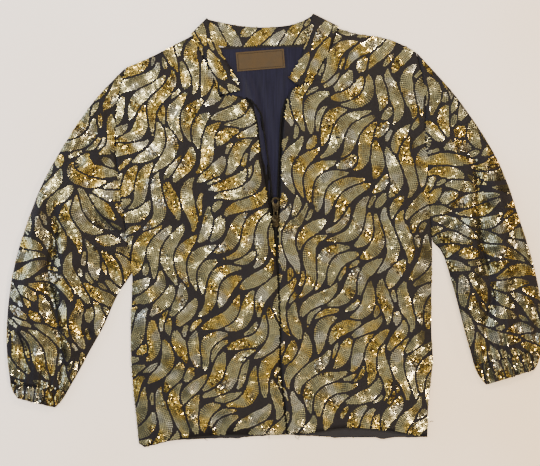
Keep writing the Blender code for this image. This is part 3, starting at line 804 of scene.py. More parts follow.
def sliced(mesh: BMesh, step_mm: float) -> BMesh:
    """Cut a flat piece into cells, so that it can crease.

    Args:
        mesh: Mesh to cut.
        step_mm: Size of a cell along X and Y.

    Returns:
        The same mesh.
    """
    bmesh.ops.dissolve_limit(mesh, angle_limit=FLAT_WITHIN, verts=mesh.verts, edges=mesh.edges)
    corners = np.array([vertex.co for vertex in mesh.verts])
    for axis in (0, 1):
        normal = Vector((1 - axis, axis, 0))
        low, high = corners[:, axis].min(), corners[:, axis].max()
        count = int((high - low) / (step_mm * MM))
        for index in range(1, count + 1):
            place = normal * (low + (high - low) * index / (count + 1))
            geometry = mesh.verts[:] + mesh.edges[:] + mesh.faces[:]
            bmesh.ops.bisect_plane(mesh, geom=geometry, dist=WELD, plane_co=place, plane_no=normal)
    return mesh


def add_bar(mesh: BMesh, spot: Matrix, thickness_mm: float, length_mm: float) -> None:
    """Add a six-sided bar that lies along X at a spot.

    Args:
        mesh: Mesh that takes the bar.
        spot: Place and turn of its middle.
        thickness_mm: Its thickness.
        length_mm: Its length.
    """
    radius = thickness_mm / 2 * MM
    lying = spot @ Matrix.Rotation(math.pi / 2, 4, "Y")
    bmesh.ops.create_cone(
        mesh, cap_ends=True, segments=6, radius1=radius, radius2=radius, depth=length_mm * MM, matrix=lying
    )


def displace(mesh: BMesh, lift: Callable[[np.ndarray], np.ndarray]) -> None:
    """Move a mesh's points up.

    Args:
        mesh: Mesh to move.
        lift: Function that takes the points in mm and gives their rises in mm.
    """
    mesh.verts.ensure_lookup_table()
    points = np.array([vertex.co for vertex in mesh.verts]) / MM
    for vertex, rise in zip(mesh.verts, lift(points)):
        vertex.co.z += rise * MM


def smooth_step(values: np.ndarray, low: float, high: float) -> np.ndarray:
    """Soft step from 0 at low to 1 at high."""
    t = np.clip((values - low) / (high - low), 0, 1)
    return t * t * (3 - 2 * t)


@dataclass(frozen=True)
class ClothPanel:
    """One cut piece of the jacket: a finer copy of its node with small creases, in mm.

    A front's edge is read row by row, and drawn over the closed zip by zip_reach, below zip_top.
    """

    node: str
    flat_m: tuple[float, float]
    area_m2: float
    tube: bool = False
    depth: float = 1.0
    rests_on: tuple[str, ...] = ()
    zip_side: int = 0
    zip_reach: float = 2.0
    zip_top: float = 8.0
    zip_fade: float = 9.0
    zip_width: float = 10.0
    row: float = 12.0
    row_reach: float = 9.0
    waviness: float = 0.35
    under_rise: float = 0.5
    collar_under_rise: float = 0.4

    LEVELS = 2
    UPPER_WALL = (3.0, 8.0)
    LOWER_WALL = (1.0, 4.0)
    COLLAR_TOP = (2.5, 4.0)
    COLLAR_FOOT = 0.2

    def cover_zip(self, mesh: BMesh) -> None:
        """Draw a front's edge a little over the closed zip, so that the chain shows as a thin line.

        Args:
            mesh: Mesh of the front.
        """
        points = np.array([vertex.co[:2] for vertex in mesh.verts]) / MM
        ahead = points[:, 0] * self.zip_side
        rows = np.arange(points[:, 1].min(), self.zip_top + 2 * self.row, self.row)
        edge = [ahead[np.abs(points[:, 1] - row) < self.row_reach].max() for row in rows]
        inside = np.interp(points[:, 1], rows, edge) - ahead
        closed = 1 - smooth_step(points[:, 1], self.zip_top - self.zip_fade, self.zip_top)
        share = (1 - smooth_step(inside, 0.0, self.zip_width)) * closed
        for vertex, part in zip(mesh.verts, share):
            vertex.co.x += self.zip_side * self.zip_reach * part * MM

    def lift(self, points: np.ndarray) -> np.ndarray:
        """Rise of each point: the upper wall creases freely and the lower one a little.

        Args:
            points: Array of x, y and z in mm.

        Returns:
            One rise in mm for each point.
        """
        plan, height = points[:, :2], points[:, 2]
        upper = self.depth * crease_field(plan, UPPER_CREASES) + gather_field(plan, CUFF_GATHERS)
        upper = upper + self.waviness * Relief(11, 22, 60).at(plan)
        if self.tube:
            under = np.clip(crease_field(plan, UNDER_CREASES), 0, None) + self.under_rise
            low = 1 - smooth_step(height, *self.LOWER_WALL)
            return smooth_step(height, *self.UPPER_WALL) * upper + low * under
        if self.zip_side:
            return upper
        wave = self.waviness * Relief(12, 20, 50).at(plan) * smooth_step(height, *self.COLLAR_TOP)
        return wave + self.collar_under_rise * (height < self.COLLAR_FOOT)

    def build(self, material: Material) -> Object:
        """Make the piece, which stands for its node.

        Args:
            material: Cloth that carries the sequins.

        Returns:
            The piece.
        """
        mesh = finer_copy(self.node, self.LEVELS, face_degrees=40, shape_degrees=70)
        displace(mesh, self.lift)
        if self.zip_side:
            self.cover_zip(mesh)
        return dress(show(mesh, self.node + "_cloth", material), "sequined_cloth", self.node)


def dress(piece: Object, slot: str, *nodes: str, body: str = JACKET) -> Object:
    """Attach a piece to the body that it moves with, and hide the nodes that it stands for.

    Args:
        piece: Finished piece.
        slot: Not used.
        nodes: CAD nodes that it replaces.
        body: Body that it moves with.

    Returns:
        The same piece.
    """
    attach(piece, body)
    if nodes:
        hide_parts(*nodes)
    log.info("%s: %d faces", piece.name, len(piece.data.polygons))
    return piece


@dataclass(frozen=True)
class BackPanel:
    """Back of the jacket: the underside rests on the table, so it only lifts into shallow creases."""

    node: str = "back"
    step_mm: float = 9.0
    neck_from: float = 275.5
    neck_half: float = 70.0
    tuck: float = 2.2
    underside_below: float = 1.0
    rise: float = 0.5
    depth: float = 0.9

    def lift(self, points: np.ndarray) -> np.ndarray:
        """Rise of each point of the underside: clear of the table, and more in a crease.

        Args:
            points: Array of x, y and z in mm.

        Returns:
            One rise in mm for each point.
        """
        creases = np.clip(crease_field(points[:, :2], UNDER_CREASES), 0, None)
        return np.where(points[:, 2] < self.underside_below, self.rise + creases * self.depth, 0.0)

    def build(self, material: Material) -> Object:
        """Cut the flat piece into cells, tuck its neck edge under the collar and lift its creases.

        Args:
            material: Cloth that carries the sequins.

        Returns:
            The piece.
        """
        mesh = sliced(merged_copy(self.node), self.step_mm)
        for vertex in mesh.verts:
            if vertex.co.y > self.neck_from * MM and abs(vertex.co.x) < self.neck_half * MM:
                vertex.co.y += self.tuck * MM
        displace(mesh, self.lift)
        return dress(show(mesh, "back_cloth", material), "sequined_cloth", self.node)


@dataclass(frozen=True)
class Lining:
    """Satin lining in the neck and the V opening, with one soft fold down its middle."""

    node: str = "back_lining"
    step_mm: float = 5.0
    folds: tuple[Crease, ...] = (
        Crease("centre_pleat", (-50, 252), (-14, 100), 6, 2.0, 4.5),
        Crease("centre_pleat_low", (-22, 150), (-5, 25), 2, 1.6, 4.5),
        Crease("pleat_valley", (-34, 240), (-4, 110), 4, -0.8, 6),
        Crease("right_drape", (30, 262), (14, 170), -5, 0.9, 8),
        Crease("left_drape", (-70, 262), (-60, 215), 4, 0.8, 8),
    )
    upper_above: float = 2.8
    label_row: float = 257.0
    label_reach: float = 22.0
    label_right: float = 20.0
    label_flattens: float = 0.9

    def lift(self, points: np.ndarray) -> np.ndarray:
        """Rise of each point of the upper face into the folds, which the label holds nearly flat.

        Args:
            points: Array of x, y and z in mm.

        Returns:
            One rise in mm for each point.
        """
        rise = crease_field(points[:, :2], self.folds)
        rows = np.exp(-(((points[:, 1] - self.label_row) / self.label_reach) ** 4))
        under_label = rows * (points[:, 0] < self.label_right)
        return rise * (points[:, 2] > self.upper_above) * (1 - self.label_flattens * under_label)

    def build(self, material: Material) -> Object:
        """Cut the flat piece into cells and lift its upper face into its folds.

        Args:
            material: Satin of the lining.

        Returns:
            The piece.
        """
        mesh = sliced(merged_copy(self.node), self.step_mm)
        displace(mesh, self.lift)
        return dress(show(mesh, "back_lining_satin", material), "navy_satin", self.node)


@dataclass(frozen=True)
class Lean:
    """Way that the leaves point near one place: degrees from upright, positive to the right."""

    place: tuple[float, float]
    degrees: float


@dataclass(frozen=True)
class LeafPrint:
    """Leaf print of one stretch of cloth, in mm.

    The leaves follow the leans, which blend into each other. Two waves turn them further, by degrees:
    one repeats across the cloth and one along it.
    """

    name: str
    nodes: tuple[str, ...]
    low: tuple[float, float]
    high: tuple[float, float]
    leans: tuple[Lean, ...]
    seed: int
    wave_across: float = 22.0
    wave_along: float = 33.0
    across_repeat: float = 165.0
    along_repeat: float = 106.0
    width: float = 20.5
    length: tuple[float, float] = (82.0, 122.0)
    gap: float = 2.2
    point: float = 0.8
    starts: tuple[tuple[float, float], ...] = ()


@dataclass(frozen=True)
class Leaf:
    """Middle line of one leaf, and half of its width along it."""

    number: int
    line: np.ndarray
    half: np.ndarray


class LeafBed:
    """Leaves that grow side by side along the leans of a print until the stretch is full.

    For each cell of 1 mm, near is how far it lies outside the outline of the nearest leaf, beyond is the
    same for the second nearest leaf, and owner is the number of the nearest.
    """

    STEP = 3.0
    MARGIN = 30
    PAD = 26
    FAR = 99.0
    LEAN_BLUR = 400.0
    LEAN_FALL = 1.5
    WAVE_SLANT = 230.0
    ROOM_AHEAD = 0.42
    ROOM_BESIDE = 0.85
    BESIDE_AT = (0.5, 0.12, 0.88)
    NARROW_LENGTH = 0.5
    ENDS = (0.02, 0.98)
    SKEW = (0.8, 1.25)
    FILL_TRIES = 6000
    FILL_ROOM = 0.34
    FILL_LENGTH = 0.24
    ROW_REACH = 18.0
    ROW_STEP = 0.5

    def __init__(self, layout: LeafPrint) -> None:
        """Start an empty bed.

        Args:
            layout: Print that the bed is for.
        """
        self.layout = layout
        self.rng = np.random.default_rng(layout.seed)
        self.origin = np.array(layout.low, float) - self.MARGIN
        self.shape = tuple(int(b - a) + 2 * self.MARGIN for a, b in zip(layout.low, layout.high))
        self.near = np.full(self.shape, self.FAR, np.float32)
        self.beyond = self.near.copy()
        self.owner = np.full(self.shape, -1)
        self.heading = self.headings()
        self.leaves: list[Leaf] = []

    def headings(self) -> np.ndarray:
        """Directions of the leaves.

        Returns:
            A unit vector for each cell.
        """
        layout = self.layout
        x, y = (self.origin[axis] + np.arange(self.shape[axis]) + 0.5 for axis in (0, 1))
        x, y = np.meshgrid(x, y, indexing="ij")
        doubled = np.zeros(self.shape, complex)
        for lean in layout.leans:
            away = (x - lean.place[0]) ** 2 + (y - lean.place[1]) ** 2
            weight = 1 / (away + self.LEAN_BLUR) ** self.LEAN_FALL
            doubled += weight * np.exp(2j * math.radians(lean.degrees))
        across = layout.wave_across * np.sin(math.tau * x / layout.across_repeat + layout.seed)
        along = layout.wave_along * np.sin(math.tau * (y / layout.along_repeat + x / self.WAVE_SLANT))
        angle = np.angle(doubled) / 2 + np.radians(across + along)
        return np.stack((np.sin(angle), np.cos(angle)), axis=-1)

    def cell(self, place: np.ndarray) -> tuple[int, int] | None:
        """Cell that holds a place, or None outside the bed."""
        i, j = int(place[0] - self.origin[0]), int(place[1] - self.origin[1])
        return (i, j) if 0 <= i < self.shape[0] and 0 <= j < self.shape[1] else None

    def arm(self, seed: np.ndarray, sense: float, length: float, half: float) -> list[np.ndarray]:
        """Half of a leaf's middle line, from its middle towards a tip, as far as there is room.

        Args:
            seed: Middle of the leaf.
            sense: 1 with the heading and -1 against it.
            length: Whole length of the leaf.
            half: Half of its greatest width.

        Returns:
            Points after the seed.
        """
        place, points = seed, []
        heading = self.heading[self.cell(seed)] * sense
        for step in range(1, int(length / 2 / self.STEP) + 1):
            place = place + heading * self.STEP
            cell = self.cell(place)
            fullness = max(0.0, math.cos(math.pi * step * self.STEP / length)) ** self.layout.point
            if cell is None or self.near[cell] < self.ROOM_AHEAD * half * fullness:
                break
            ahead = self.heading[cell]
            heading = ahead * math.copysign(1.0, ahead @ heading)
            points.append(place)
        return points

    def sow(self, seed: np.ndarray, least_room: float, shortest: float) -> Leaf | None:
        """Grow a leaf where there is room for one.

        Args:
            seed: Middle of the leaf.
            least_room: Room that the leaf needs at its middle, to each side.
            shortest: Least length that is kept.

        Returns:
            The new leaf, or None.
        """
        cell = self.cell(seed)
        if cell is None or self.near[cell] < least_room:
            return None
        full = self.layout.width / 2
        half = min(full, float(self.near[cell]))
        length = self.rng.uniform(*self.layout.length) * max(self.NARROW_LENGTH, half / full)
        ahead, behind = (self.arm(seed, sense, length, half) for sense in (1.0, -1.0))
        line = np.array(behind[::-1] + [seed] + ahead)
        if (len(line) - 1) * self.STEP < shortest:
            return None
        t = np.linspace(*self.ENDS, len(line)) ** self.rng.uniform(*self.SKEW)
        leaf = Leaf(len(self.leaves), line, half * np.sin(np.pi * t) ** self.layout.point)
        self.stamp(leaf)
        return leaf

    def stamp(self, leaf: Leaf) -> None:
        """Write a leaf into the cells round it.

        Args:
            leaf: Leaf to keep.
        """
        low = np.maximum((leaf.line.min(axis=0) - self.origin).astype(int) - self.PAD, 0)
        high = np.minimum((leaf.line.max(axis=0) - self.origin).astype(int) + self.PAD, self.shape)
        window = (slice(low[0], high[0]), slice(low[1], high[1]))
        x = (self.origin[0] + np.arange(low[0], high[0]) + 0.5).astype(np.float32)[:, None]
        y = (self.origin[1] + np.arange(low[1], high[1]) + 0.5).astype(np.float32)[None, :]
        outside = np.full((x.size, y.size), self.FAR, np.float32)
        for (middle_x, middle_y), half in zip(leaf.line.astype(np.float32), leaf.half.astype(np.float32)):
            np.minimum(outside, np.sqrt((x - middle_x) ** 2 + (y - middle_y) ** 2) - half, out=outside)
        nearer = outside < self.near[window]
        self.beyond[window] = np.where(nearer, self.near[window], np.minimum(self.beyond[window], outside))
        self.owner[window] = np.where(nearer, leaf.number, self.owner[window])
        self.near[window] = np.minimum(self.near[window], outside)
        self.leaves.append(leaf)

    def plant(self) -> None:
        """Grow leaves outwards from the starts, each beside or beyond another, then fill the holes."""
        layout = self.layout
        full = layout.width / 2
        shortest = layout.length[0] / 2
        middle = tuple((a + b) / 2 for a, b in zip(layout.low, layout.high))
        waiting = deque(np.array(start, float) for start in layout.starts or (middle,))
        while waiting:
            leaf = self.sow(waiting.popleft(), self.ROOM_BESIDE * full, shortest)
            if leaf is None:
                continue
            last = len(leaf.line) - 1
            for share in self.BESIDE_AT:
                place = leaf.line[int(share * last)]
                ahead = self.heading[self.cell(place)]
                beside = np.array((ahead[1], -ahead[0])) * layout.width
                waiting.extend((place + beside, place - beside))
            for tip, inner in ((0, 2), (last, last - 2)):
                onward = leaf.line[tip] - leaf.line[inner]
                waiting.append(leaf.line[tip] + onward / np.linalg.norm(onward) * shortest)
        for seed in self.rng.uniform(layout.low, layout.high, (self.FILL_TRIES, 2)):
            self.sow(seed, self.FILL_ROOM * full, self.FILL_LENGTH * layout.length[0])

    def lay(self, pitch: float, radius: float) -> tuple[np.ndarray, np.ndarray, np.ndarray]:
        """Places of all sequins in the plan: rows across each leaf, from edge to edge.

        Args:
            pitch: Distance between rows, and about that in a row.
            radius: Radius of a sequin, which stays inside the leaf's outline.

        Returns:
            Points, directions of the leaves there, and the number of each point's leaf.
        """
        offsets = np.arange(-self.ROW_REACH, self.ROW_REACH + self.ROW_STEP / 2, self.ROW_STEP)
        points, directions, numbers = [], [], []
        for leaf in self.leaves:
            steps = np.linalg.norm(np.diff(leaf.line, axis=0), axis=1)
            along = np.concatenate(([0.0], np.cumsum(steps)))
            places = np.arange(0.0, along[-1], pitch)
            line = np.stack([np.interp(places, along, leaf.line[:, axis]) for axis in (0, 1)], axis=1)
            tangent = np.gradient(line, axis=0)
            tangent /= np.linalg.norm(tangent, axis=1)[:, None]
            across = np.stack((tangent[:, 1], -tangent[:, 0]), axis=1)
            spots = line[:, None, :] + offsets[None, :, None] * across[:, None, :]
            cells = np.clip((spots - self.origin).astype(int), 0, np.array(self.shape) - 1)
            i, j = cells[..., 0], cells[..., 1]
            inside = (self.owner[i, j] == leaf.number) & (self.near[i, j] < -radius)
            inside &= self.beyond[i, j] - self.near[i, j] > self.layout.gap + 2 * radius
            for row in range(len(places)):
                hits = np.flatnonzero(inside[row])
                if not len(hits):
                    continue
                left, right = offsets[hits[0]], offsets[hits[-1]]
                count = round((right - left) / pitch) + 1
                spread = np.linspace(left, right, count) if count > 1 else np.array([(left + right) / 2])
                points.append(line[row] + spread[:, None] * across[row])
                directions.append(np.repeat(tangent[row][None, :], count, axis=0))
                numbers.append(np.full(count, leaf.number))
        return np.concatenate(points), np.concatenate(directions), np.concatenate(numbers)


BODY = ((-262, -348), (262, 332))
LEFT_ARM = ((-412, -262), (-196, 272))
RIGHT_ARM = ((196, -232), (412, 292))
LEFT_CUFF = ((-412, -284), (-290, -210))
RIGHT_CUFF = ((280, -250), (416, -158))
CUFF_LEAF = {"width": 15.0, "length": (44.0, 62.0), "wave_across": 8.0, "wave_along": 4.0, "gap": 1.8}
COLLAR_LEAF = {"width": 19.0, "length": (58.0, 84.0), "wave_across": 6.0, "wave_along": 6.0, "gap": 1.8}
ARM_WAVES = {"wave_across": 18.0, "wave_along": 26.0, "across_repeat": 120.0, "along_repeat": 84.0}
ARM_LEAF = {"width": 19.0, "length": (66.0, 104.0), **ARM_WAVES}
LEFT_CUFF_LEANS = (Lean((-352, -240), 8),)
RIGHT_CUFF_LEANS = (Lean((350, -205), -13),)

LEFT_ARM_LEANS = (
    Lean((-235, 205), 32),
    Lean((-290, 150), 34),
    Lean((-350, 50), 22),
    Lean((-250, 74), -60),
    Lean((-245, 20), -50),
    Lean((-289, -38), -20),
    Lean((-362, -50), -80),
    Lean((-322, -148), -35),
    Lean((-375, -160), -20),
    Lean((-275, -150), -12),
)
RIGHT_ARM_LEANS = (
    Lean((235, 205), 4),
    Lean((280, 165), -18),
    Lean((265, 90), 72),
    Lean((293, 47), 84),
    Lean((262, 0), 78),
    Lean((345, 40), 88),
    Lean((345, -43), 104),
    Lean((380, -100), 112),
    Lean((353, -140), 116),
    Lean((288, -125), -22),
    Lean((310, -180), -30),
)

UPPER_PRINTS = (
    LeafPrint("fronts", ("left_front", "right_front"), *BODY, (Lean((0, 0), 29),), seed=4),
    LeafPrint(
        "collar", ("collar",), (-140, 190), (115, 335),
        (
            Lean((-20, 310), 62),
            Lean((-95, 270), -32),
            Lean((-60, 225), -34),
            Lean((72, 285), 25),
            Lean((30, 235), 28),
        ),
        seed=31, starts=((-68, 296), (-22, 291), (24, 293), (-88, 248), (66, 256)), **COLLAR_LEAF,
    ),
    LeafPrint("left_sleeve", ("left_sleeve",), *LEFT_ARM, LEFT_ARM_LEANS, seed=5, **ARM_LEAF),
    LeafPrint("right_sleeve", ("right_sleeve",), *RIGHT_ARM, RIGHT_ARM_LEANS, seed=12, **ARM_LEAF),
    LeafPrint("left_cuff", ("left_cuff",), *LEFT_CUFF, LEFT_CUFF_LEANS, seed=11, **CUFF_LEAF),
    LeafPrint("right_cuff", ("right_cuff",), *RIGHT_CUFF, RIGHT_CUFF_LEANS, seed=17, **CUFF_LEAF),
)

UNDER_PRINTS = (
    LeafPrint("back", ("back",), *BODY, (Lean((0, 0), -20),), seed=41),
    LeafPrint(
        "collar_inside", ("collar",), (-140, 190), (115, 335), (Lean((0, 300), -40),), seed=42, **COLLAR_LEAF,
    ),
    LeafPrint(
        "left_sleeve_back", ("left_sleeve",), *LEFT_ARM,
        (Lean((-270, 120), 30), Lean((-330, -30), -25), Lean((-310, -170), 15)), seed=43, **ARM_LEAF,
    ),
    LeafPrint(
        "right_sleeve_back", ("right_sleeve",), *RIGHT_ARM,
        (Lean((270, 130), -30), Lean((320, 0), 60), Lean((330, -140), 20)), seed=44, **ARM_LEAF,
    ),
    LeafPrint("left_cuff_back", ("left_cuff",), *LEFT_CUFF, LEFT_CUFF_LEANS, seed=45, **CUFF_LEAF),
    LeafPrint("right_cuff_back", ("right_cuff",), *RIGHT_CUFF, RIGHT_CUFF_LEANS, seed=48, **CUFF_LEAF),
)


class Skin:
    """Surfaces of the cloth pieces, for rays that come straight down or straight up."""

    def __init__(self, pieces: dict[str, Object]) -> None:
        """Join the pieces' faces into one tree and remember whose each face is.

        Args:
            pieces: Cloth pieces by the name of their node.
        """
        corners: list[Vector] = []
        faces: list[list[int]] = []
        self.owners: list[str] = []
        for node, piece in pieces.items():
            first = len(corners)
            corners += [vertex.co.copy() for vertex in piece.data.vertices]
            for polygon in piece.data.polygons:
                faces.append([first + i for i in polygon.vertices])
                self.owners.append(node)
        self.tree = BVHTree.FromPolygons(corners, faces)

    def meet(self, x: float, y: float, side: Side) -> tuple[Vector, Vector, str] | None:
        """First surface over or under a point of the plan.

        Args:
            x: Place in mm.
            y: Place in mm.
            side: The side that the ray comes from.

        Returns:
            Place in metres, normal and node, or None where there is no cloth.
        """
        start = Vector((x * MM, y * MM, RAY_START * side.value))
        place, normal, index, _ = self.tree.ray_cast(start, Vector((0, 0, -side.value)))
        if place is None:
            return None
        if normal.z * side.value < 0:
            normal = -normal
        return place, normal, self.owners[index]


@dataclass
class SequinLayer:
    """Sequins on one side of the jacket, sewn on in rows that follow the leaves."""

    skin: Skin
    side: Side
    prints: tuple[LeafPrint, ...]
    corners: int
    pitch: float = 2.6
    radius: float = 1.27
    steady_tilt: float = 2.2
    loose_tilt: float = 14.0
    wave_tilt: float = 3.0
    lift_mm: float = 0.35
    lift_more_mm: float = 0.25
    # gold and silver are mixed into the tones as painted reflections, and the darker draw adds painted shade.
    gold: str = "D2B454"
    champagne: str = "A9A47E"
    silver: str = "C8C7BC"
    patch_wave: float = 0.8
    patch_own: float = 1.4
    pale_own: float = 0.9
    palest: float = 0.6
    lightest: float = 1.04
    steepest: float = 0.3
    seam_steepest: float = 0.72
    seam_reach: float = 250.0
    fewest: int = 9
    seed: int = 3
    places: dict[str, list[tuple]] = field(default_factory=dict)

    def sew(self) -> None:
        """Find where each sequin lies, print by print."""
        for layout in self.prints:
            bed = LeafBed(layout)
            bed.plant()
            landed: dict[int, list[tuple]] = {}
            for (x, y), direction, leaf in zip(*bed.lay(self.pitch, self.radius)):
                met = self.skin.meet(x, y, self.side)
                least = self.seam_steepest if abs(x) < self.seam_reach else self.steepest
                if met is None or met[2] not in layout.nodes or abs(met[1].z) < least:
                    continue
                landed.setdefault(leaf, []).append((met[2], (met[0], met[1], direction, leaf)))
            kept = [spot for spots in landed.values() if len(spots) >= self.fewest for spot in spots]
            for node, spot in kept:
                self.places.setdefault(node, []).append(spot)
            log.info("%s: %d leaves, %d sequins", layout.name, len(landed), len(kept))

    def disc(self) -> np.ndarray:
        """Outline of one sequin.

        Returns:
            Its corners round the origin, in metres.
        """
        mesh = bmesh.new()
        bmesh.ops.create_circle(mesh, segments=self.corners, radius=self.radius * MM)
        corners = np.array([vertex.co for vertex in mesh.verts])
        mesh.free()
        return corners

    def tilts(self, plan: np.ndarray, rng: np.random.Generator) -> np.ndarray:
        """Lean of each sequin: slow waves, and loose patches where the sequins scatter.

        Args:
            plan: Places of the sequins in mm.
            rng: Source of the scatter.

        Returns:
            Radians along X and Y for each sequin.
        """
        waves = np.stack((Relief(21, 18, 48).at(plan), Relief(22, 18, 48).at(plan)), axis=1)
        slow = waves * self.wave_tilt
        patch = smooth_step(Relief(23, 26, 70).at(plan), 0.2, 1.4)
        spread = self.steady_tilt + (self.loose_tilt - self.steady_tilt) * patch
        return np.radians(slow + rng.normal(size=plan.shape) * spread[:, None])

    def tones(self, plan: np.ndarray, leaves: np.ndarray, rng: np.random.Generator) -> np.ndarray:
        """Colour of each sequin: champagne, with painted reflections and painted shade in it.

        Gold patches, which differ from leaf to leaf, are painted warm reflection, pale patches are painted
        silver reflection, and darker sequins are partly random tone and partly painted shade in the gold
        patches.

        Args:
            plan: Places of the sequins in mm.
            leaves: Number of each sequin's leaf.
            rng: Source of each leaf's own share of painted reflection, and of the scatter.

        Returns:
            Linear red, green, blue and alpha for each sequin.
        """
        codes = (self.gold, self.champagne, self.silver)
        gold, champagne, silver = (np.array(linear(code)) for code in codes)
        _, leaf_index = np.unique(leaves, return_inverse=True)
        own = rng.uniform(0, 1, leaf_index.max() + 1)[leaf_index]
        # Gold patches: painted warm reflection, stronger in some leaves than in others.
        wave = self.patch_wave * Relief(23, 26, 70).at(plan)
        patch = smooth_step(wave + self.patch_own * own - self.patch_own / 2, -0.25, 1.15)
        # Pale patches: painted silver reflection.
        painted_silver_reflection = smooth_step(Relief(25, 24, 70).at(plan) - self.pale_own * own, 0.2, 1.3)[:, None]
        share = np.clip(patch + rng.normal(size=len(plan)) * 0.08, 0, 1)[:, None]
        tone = champagne * (1 - share) + gold * share
        tone = tone * (1 - self.palest * painted_silver_reflection) + silver * self.palest * painted_silver_reflection
        # Random darkening of the tone, plus painted shade in the gold patches for sequins that stand for ones
        # tilted away.
        random_and_painted_dark = rng.uniform(0.0, 1.0, (len(plan), 1)) * (0.12 + 0.28 * share)
        tone = tone * (self.lightest - random_and_painted_dark)
        tone[:, 3] = 1
        return tone

    def build(self, material: Material) -> None:
        """Join the sequins of each node into one piece.

        Args:
            material: Film of the sequins.
        """
        disc = self.disc()
        for number, (node, spots) in enumerate(sorted(self.places.items())):
            rng = np.random.default_rng(self.seed + number)
            origin = np.array([spot[0] for spot in spots])
            normal = np.array([spot[1] for spot in spots])
            along = np.array([(*spot[2], 0.0) for spot in spots])
            leaves = np.array([spot[3] for spot in spots])
            plan = origin[:, :2] / MM
            tilt = self.tilts(plan, rng)
            normal = normal + np.stack((tilt[:, 0], tilt[:, 1], np.zeros(len(tilt))), axis=1)
            normal /= np.linalg.norm(normal, axis=1)[:, None]
            along -= normal * np.sum(along * normal, axis=1)[:, None]
            along /= np.linalg.norm(along, axis=1)[:, None]
            across = np.cross(normal, along)
            lift = self.lift_mm + rng.uniform(0, self.lift_more_mm, len(origin))
            raised = origin + normal * lift[:, None] * MM
            corners = (
                raised[:, None, :]
                + disc[None, :, :1] * along[:, None, :]
                + disc[None, :, 1:2] * across[:, None, :]
            ).reshape(-1, 3)
            name = f"{node}_{self.side.name.lower()}_sequins"
            dress(self.join(name, corners, self.tones(plan, leaves, rng), material), "sequined_cloth")

    def join(self, name: str, corners: np.ndarray, tones: np.ndarray, material: Material) -> Object:
        """Make one mesh of discs, with a map of the cloth laid flat for baking.

        Args:
            name: Name of the piece.
            corners: Corners of all discs in metres, disc by disc.
            tones: Colour of each disc.
            material: Film of the sequins.

        Returns:
            The piece.
        """
        corners[:, 2] = np.maximum(corners[:, 2], LOWEST)
        faces = np.arange(len(corners)).reshape(-1, self.corners)
        data = bpy.data.meshes.new(name)
        data.from_pydata(corners, [], faces)
        data.materials.append(material)
        colour = data.color_attributes.new("tone", "FLOAT_COLOR", "POINT")
        colour.data.foreach_set("color", np.repeat(tones, self.corners, axis=0).astype(np.float32).ravel())
        flat = corners[:, :2] - corners[:, :2].min(axis=0)
        flat = flat / flat.max()
        chart = data.uv_layers.new(name="OFBake")
        chart.data.foreach_set("uv", flat.astype(np.float32).ravel())
        piece = bpy.data.objects.new(name, data)
        bpy.context.scene.collection.objects.link(piece)
        return piece


